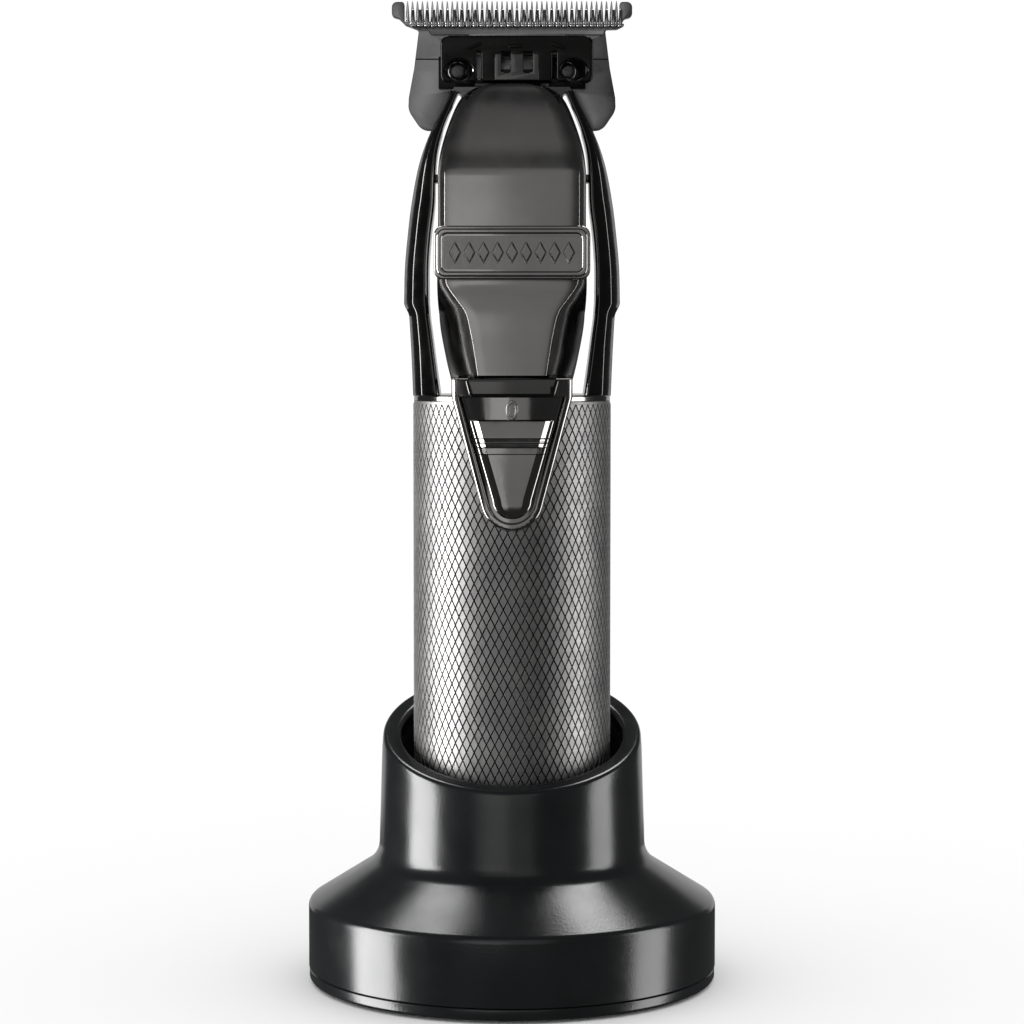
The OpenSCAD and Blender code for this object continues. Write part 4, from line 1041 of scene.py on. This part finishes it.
def fixed_blade_parts():
    half = blade_high.x
    tip = blade_high.z
    root = tip - 3.4
    front, back = blade_low.y, blade_high.y
    low = half - 2.8
    bottom = blade_low.z
    notch = bracket_low.z - 0.3
    lug = half - END_LUG + 0.1
    right = [(9.3, notch, 0.2), (12.3, bottom + 0.15, 0.3), (low - 2.2, bottom, 3.2),
             (low + 0.1, bottom + 3.4, 2.5), (low, notch - 1.0, 1.2), (low - 0.9, notch + 3.8, 3.0),
             (half - 4.5, root - 1.4, 0.6), (half - 2.3, root - 0.6, 0.8), (half - 1.2, root + 0.5, 0.8),
             (half, root + 0.8, 0.7), (half, tip - 0.15, 0.9), (lug, tip - 0.15, 0.5), (lug, root, 0.1)]
    plate = panel([mirrored(rounded(right))], front, back, edge=0.12, steps=1)
    pitch = (2 * half - 2 * END_LUG) / BLADE_TEETH
    teeth = grown(ROW, fixed_tooth(pitch, root, tip, front + 0.02, back - 0.1), CUTTER_STEEL, BLADE_TEETH,
                  Pitch=pitch, Middle=0.0)
    # scribed line across both wings, where the blade's hardened strip ends
    level = notch + 5.2
    groove = [(front - 0.1, level - 0.06), (front - 0.1, level + 0.24), (front + 0.24, level + 0.16)]
    scribe = joined(*[skin([[(side * x, y, z) for y, z in groove] for x in (9, low + 3)]) for side in SIDES])
    return carved(plate, scribe), teeth


def cutter_parts():
    """The cutter's bar and teeth, at the right-hand end of the stroke."""
    wide = (cutter_high.x - cutter_low.x) / 2
    front, back = cutter_low.y, cutter_high.y
    root = cutter_high.z - 2.4
    shoulder = bracket_high.z + 1.2
    right = [(8, cutter_low.z), (8, bracket_high.z + 0.5), (wide - 3.4, bracket_high.z + 0.5, 0.1),
             (wide - 3.2, shoulder, 0.15), (wide - 1.2, shoulder + 0.05, 0.5), (wide, root - 0.5, 0.5),
             (wide, root, 0.1)]
    bar = panel([mirrored(rounded(right))], front, back, edge=0.12, steps=2)
    hollow = turned(rod(1.5, -wide, wide, 48), Matrix.Rotation(pi / 2, 4, "Y"))
    bar = carved(bar, moved(hollow, 0, front - 1.18, root - 1.25))
    pitch = 2 * wide / CUTTER_TEETH
    tooth = cutter_tooth(pitch, root, cutter_high.z, front + 0.02, back - 0.02)
    teeth = grown(ROW, tooth, CUTTER_STEEL, CUTTER_TEETH, Pitch=pitch, Middle=0.0)
    return moved(bar, STROKE), moved(teeth, STROKE)


def lens(x, z, half_wide, half_tall):
    """Pointed oval opening."""
    radius = (half_wide**2 + half_tall**2) / (2 * half_tall)
    reach = atan2(half_wide, radius - half_tall)
    points = []
    for up in (1, -1):
        for k in range(-8, 8):
            angle = reach * k / 8
            points.append((x + up * radius * sin(angle), z + up * (half_tall - radius + radius * cos(angle))))
    return points


def yoke_parts():
    """Glossy yoke with its openings, and the grey comb set in its middle."""
    low, high = bracket_low.z + 0.45, cutter_low.z + 2.7
    wide = yoke_high.x - STROKE
    front = yoke_low.y
    outline = rectangle(-wide, wide, low, high, 1.3, 1.4, steps=8)
    hole_z = low + 2.15
    holes = [lens(side * 9.4, hole_z, 2.25, 1.65) for side in SIDES]
    slits = [rectangle(x - 0.32, x + 0.32, low + 0.6, low + 5, 0.2, steps=3) for x in (-6.2, 6.2)]
    windows = [rectangle(x - 0.78, x + 0.78, low + 1.5, low + 4.9, 0.6, 0.1) for x in (-1.78, 1.78)]
    face = panel([outline] + windows + holes + slits, front, front + 1.05, edge=0.45, steps=4)
    legs = mirrored([(0.01, low + 0.5), (3.6, low + 0.5), (3.6, low + 4.75), (2.56, low + 4.75),
                     (2.56, low + 1.95), (2.25, low + 1.65), (1.35, low + 1.65), (1.04, low + 1.95),
                     (1.04, low + 4.75), (0.01, low + 4.75)])
    comb = panel([legs], front - 0.05, front + 0.5, edge=0.09)
    # clips moulded along the top edge
    clips = []
    for x, lean in ((-7.0, 0.5), (-0.1, 0), (6.9, -0.5)):
        clips.append(panel([rounded([(x - 1.3, high - 2.1 - lean, 0.2), (x + 1.3, high - 2.1 + lean, 0.2),
                                     (x + 1.1, high - 1.5 + lean, 0.2), (x - 1.1, high - 1.5 - lean, 0.2)])],
                           front - 0.2, front + 0.4, edge=0.18))
    rear = [block((x - 1.6, front + 1.05, hole_z + 2.4), (x + 1.6, cutter_low.y, high - 0.3), 0.1)
            for x in (-2.9, 2.9)]
    tail_low = low + 1.15
    rear.append(block((-3.9, front + 1.1, tail_low), (3.9, blade_low.y - 0.3, tail_low + 1.2), 0.1))
    for x in (-3.9, 2.7):
        rear.append(block((x, -2.4, yoke_low.z), (x + 1.2, blade_low.y - 0.3, tail_low + 0.2), 0.15))
    return moved(joined(face, *clips, *rear), STROKE), moved(comb, STROKE)


def bracket_moulding():
    low, high = bracket_low, bracket_high
    outline = rectangle(low.x, high.x, low.z, high.z, 0.6)
    middle = low.z + 2.6
    plate = panel([outline], low.y, -0.02, edge=0.2)
    window = block((-8.2, -10, middle + 2), (8.2, 10, high.z - 0.9))
    slot = block((-5.7, -10, low.z - 1), (5.7, 10, middle + 3))
    wells = [moved(turned(rod(1.8, 2, 12), TO_FRONT), side * BLADE_SCREW_X, z=middle) for side in SIDES]
    feet = [block((x - 3, -0.1, low.z), (x + 3, high.y - 0.01, low.z + 5.3), 0.1) for x in (-9.2, 9.2)]
    return joined(carved(plate, window, slot, *wells), *feet)


def blade_screw_set():
    z = middle_z(blade_screws_low, blade_screws_high)
    places = [(side * BLADE_SCREW_X, blade_screws_low.y + 0.86, z) for side in SIDES]
    return screw_heads(BLADE_SCREW_R, 0.85, TO_FRONT, places)


def blade_mount_casting():
    """Clamp block behind the blade, with a step and two screw wells."""
    low, high = mount_low, mount_high
    foot = bracket_low.z - 0.3
    outline = mirrored(rounded([(8.3, low.z, 0.8), (8.3, foot, 0.2), (high.x - 0.6, foot, 0.8),
                                (high.x, foot + 1.2, 0.8), (high.x, high.z - 1.6, 1.2),
                                (high.x - 1.6, high.z, 1.0)]))
    plate = panel([outline], blade_high.y, high.y, edge=0.5, steps=3)
    relief = panel([rectangle(-7.5, 7.5, foot + 1.2, high.z - 1.4, 1)], high.y - 0.6, high.y + 2, edge=0.2)
    z = middle_z(mount_screws_low, mount_screws_high)
    wells = [moved(turned(rod(1.75, high.y - 1.2, 30), TO_BACK), side * MOUNT_SCREW_X, z=z) for side in SIDES]
    tongue = block((-8.2, blade_low.y + 0.02, low.z + 0.1), (8.2, blade_high.y + 0.1, foot - 0.1), 0.2)
    return joined(carved(plate, relief, *wells), tongue)


def mount_screw_set():
    z = middle_z(mount_screws_low, mount_screws_high)
    places = [(side * MOUNT_SCREW_X, mount_high.y - 1.19, z) for side in SIDES]
    return screw_heads(BLADE_SCREW_R, 1.0, TO_BACK, places)


blade_plate, blade_teeth = fixed_blade_parts()
piece("fixed_blade_plate", blade_plate, BLADE_STEEL, "trimmer", "blade_steel", "fixed_blade")
piece("fixed_blade_teeth", blade_teeth, CUTTER_STEEL, "trimmer", "blade_steel", crease=50)
cutter_bar, cutter_teeth = cutter_parts()
piece("cutter_bar", cutter_bar, BLADE_STEEL, "cutter_slide", "cutter_steel", "cutter")
piece("cutter_teeth", cutter_teeth, CUTTER_STEEL, "cutter_slide", "cutter_steel", crease=50)
yoke_face, yoke_comb = yoke_parts()
piece("yoke_moulding", yoke_face, YOKE_NYLON, "cutter_slide", "yoke_plastic", "drive_yoke")
piece("yoke_comb", yoke_comb, BLACK_NICKEL, "cutter_slide", "yoke_plastic")
piece("bracket_moulding", bracket_moulding(), YOKE_NYLON, "trimmer", "bracket_plastic", "blade_bracket")
piece("blade_screw_heads", blade_screw_set(), BLACK_SCREW, "trimmer", "screw_steel", "blade_screws")
piece("blade_mount_casting", blade_mount_casting(), BLACK_NICKEL, "trimmer", "mount_metal", "blade_mount")
piece("mount_screw_heads", mount_screw_set(), SCREW_STEEL, "trimmer", "screw_steel", "mount_screws")

# ---------------------------------------------------------------------------
# Finishes of the frame's own nodes, shown or stood for
# ---------------------------------------------------------------------------

NODE_FINISHES = {
    "ballast_ring": MOTOR_STEEL, "stand_board": BOARD, "left_pin": GOLD, "right_pin": GOLD,
    "left_pin_spring": SPRING_WIRE, "right_pin_spring": SPRING_WIRE, "cap_seal": FOOT,
    "charge_contacts": GOLD, "cell_carrier": NYLON, "battery_cell": SLEEVE, "control_board": BOARD,
    "slide_switch": SCREW_STEEL,
    "motor_cradle": NYLON, "motor_can": MOTOR_STEEL, "motor_bush": BRASS, "motor_shaft": MOTOR_STEEL,
    "eccentric": BRASS, "tension_spring": SPRING_WIRE, "stand_shell": STAND_ABS, "charging_cup": CUP_ABS,
    "base_plate": STAND_ABS, "foot_ring": FOOT, "power_inlet": CUP_ABS, "base_screws": SCREW_STEEL,
    "grip_sleeve": KNURL, "end_cap": CUP_ABS, "switch_bezel": POLISHED, "thumb_slider": POLISHED,
    "head_frame": BLACK_NICKEL, "front_lid": SATIN, "nameplate": POLISHED, "rear_cover": SATIN,
    "cover_screws": SCREW_STEEL, "fixed_blade": BLADE_STEEL, "blade_bracket": YOKE_NYLON,
    "blade_mount": BLACK_NICKEL, "blade_screws": BLACK_SCREW, "mount_screws": SCREW_STEEL,
    "drive_yoke": YOKE_NYLON, "cutter": BLADE_STEEL,
}
for node, material in NODE_FINISHES.items():
    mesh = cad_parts[node].data
    mesh.materials.clear()
    mesh.materials.append(material)

# ---------------------------------------------------------------------------
# Studio, in metres
# ---------------------------------------------------------------------------

OBJECT_MIDDLE = Vector((0, 0, 0.08))


def studio_floor():
    mesh = bpy.data.meshes.new("studio_floor")
    reach = 6.0
    mesh.from_pydata([(-reach, -reach, 0), (reach, -reach, 0), (reach, reach, 0), (-reach, reach, 0)], [],
                     [(0, 1, 2, 3)])
    mesh.materials.append(pale_studio_floor())
    made = bpy.data.objects.new("studio_floor", mesh)
    bpy.context.scene.collection.objects.link(made)
    made.visible_glossy = False  # gloss mirrors the dim room instead
    return made


def softbox(name, place, wide, tall, radiance):
    """A soft rectangular light, unseen by the camera. It leaves the floor alone."""
    lamp = bpy.data.lights.new(name, "AREA")
    lamp.shape = "RECTANGLE"
    lamp.size = wide
    lamp.size_y = tall
    lamp.energy = radiance * pi * wide * tall
    made = bpy.data.objects.new(name, lamp)
    made.location = place
    made.rotation_euler = (OBJECT_MIDDLE - Vector(place)).to_track_quat("-Z", "Y").to_euler()
    made.visible_camera = False
    made.light_linking.receiver_collection = not_the_floor
    made.light_linking.blocker_collection = not_the_floor
    bpy.context.scene.collection.objects.link(made)


def studio_sky(open_light, room_light):
    """White light all round for the floor and the background, and a dim room for gloss to mirror."""
    world = bpy.data.worlds.new("studio")
    world.use_nodes = True
    tree = world.node_tree
    glossy = add(tree, "ShaderNodeLightPath").outputs["Is Glossy Ray"]
    level = add(tree, "ShaderNodeMapRange", {"Value": glossy, "To Min": open_light, "To Max": room_light})
    back = tree.nodes["Background"]
    back.inputs["Color"].default_value = (1, 1, 1, 1)
    tree.links.new(level.outputs["Result"], back.inputs["Strength"])
    bpy.context.scene.world = world


def studio_camera():
    """View of the front from just under half a metre, tipped down a little."""
    distance, height, aim = 0.46, 0.105, 0.0786  # metres
    camera = bpy.data.objects.new("camera", bpy.data.cameras.new("camera"))
    camera.data.sensor_width = 36
    camera.data.lens = 96.7
    camera.data.clip_start = 0.01
    camera.location = (0, -distance, height)
    camera.rotation_euler = (Vector((0, 0, aim)) - camera.location).to_track_quat("-Z", "Y").to_euler()
    bpy.context.scene.collection.objects.link(camera)
    bpy.context.scene.camera = camera


not_the_floor = bpy.data.collections.new("not_the_floor")
not_the_floor.objects.link(studio_floor())
not_the_floor.collection_objects[0].light_linking.link_state = "EXCLUDE"
softbox("left_strip", (-0.605, -0.09, 0.04), 0.31, 0.6, 17)
softbox("right_strip", (0.605, -0.09, 0.04), 0.25, 0.6, 6.5)
softbox("left_overhead", (-0.27, 0.38, 0.92), 0.34, 0.3, 9)
softbox("right_overhead", (0.27, 0.38, 0.92), 0.34, 0.3, 11)
softbox("front_screen", (-0.04, -0.95, 0.38), 0.8, 0.97, 0.45)
softbox("left_front_screen", (-0.27, -0.88, 0.175), 0.46, 0.56, 0.6)
softbox("back_screen", (0.0, 0.95, 0.12), 1.3, 0.5, 0.6)
studio_sky(1.04, 0.06)
studio_camera()
bpy.context.scene.view_settings.view_transform = "Standard"
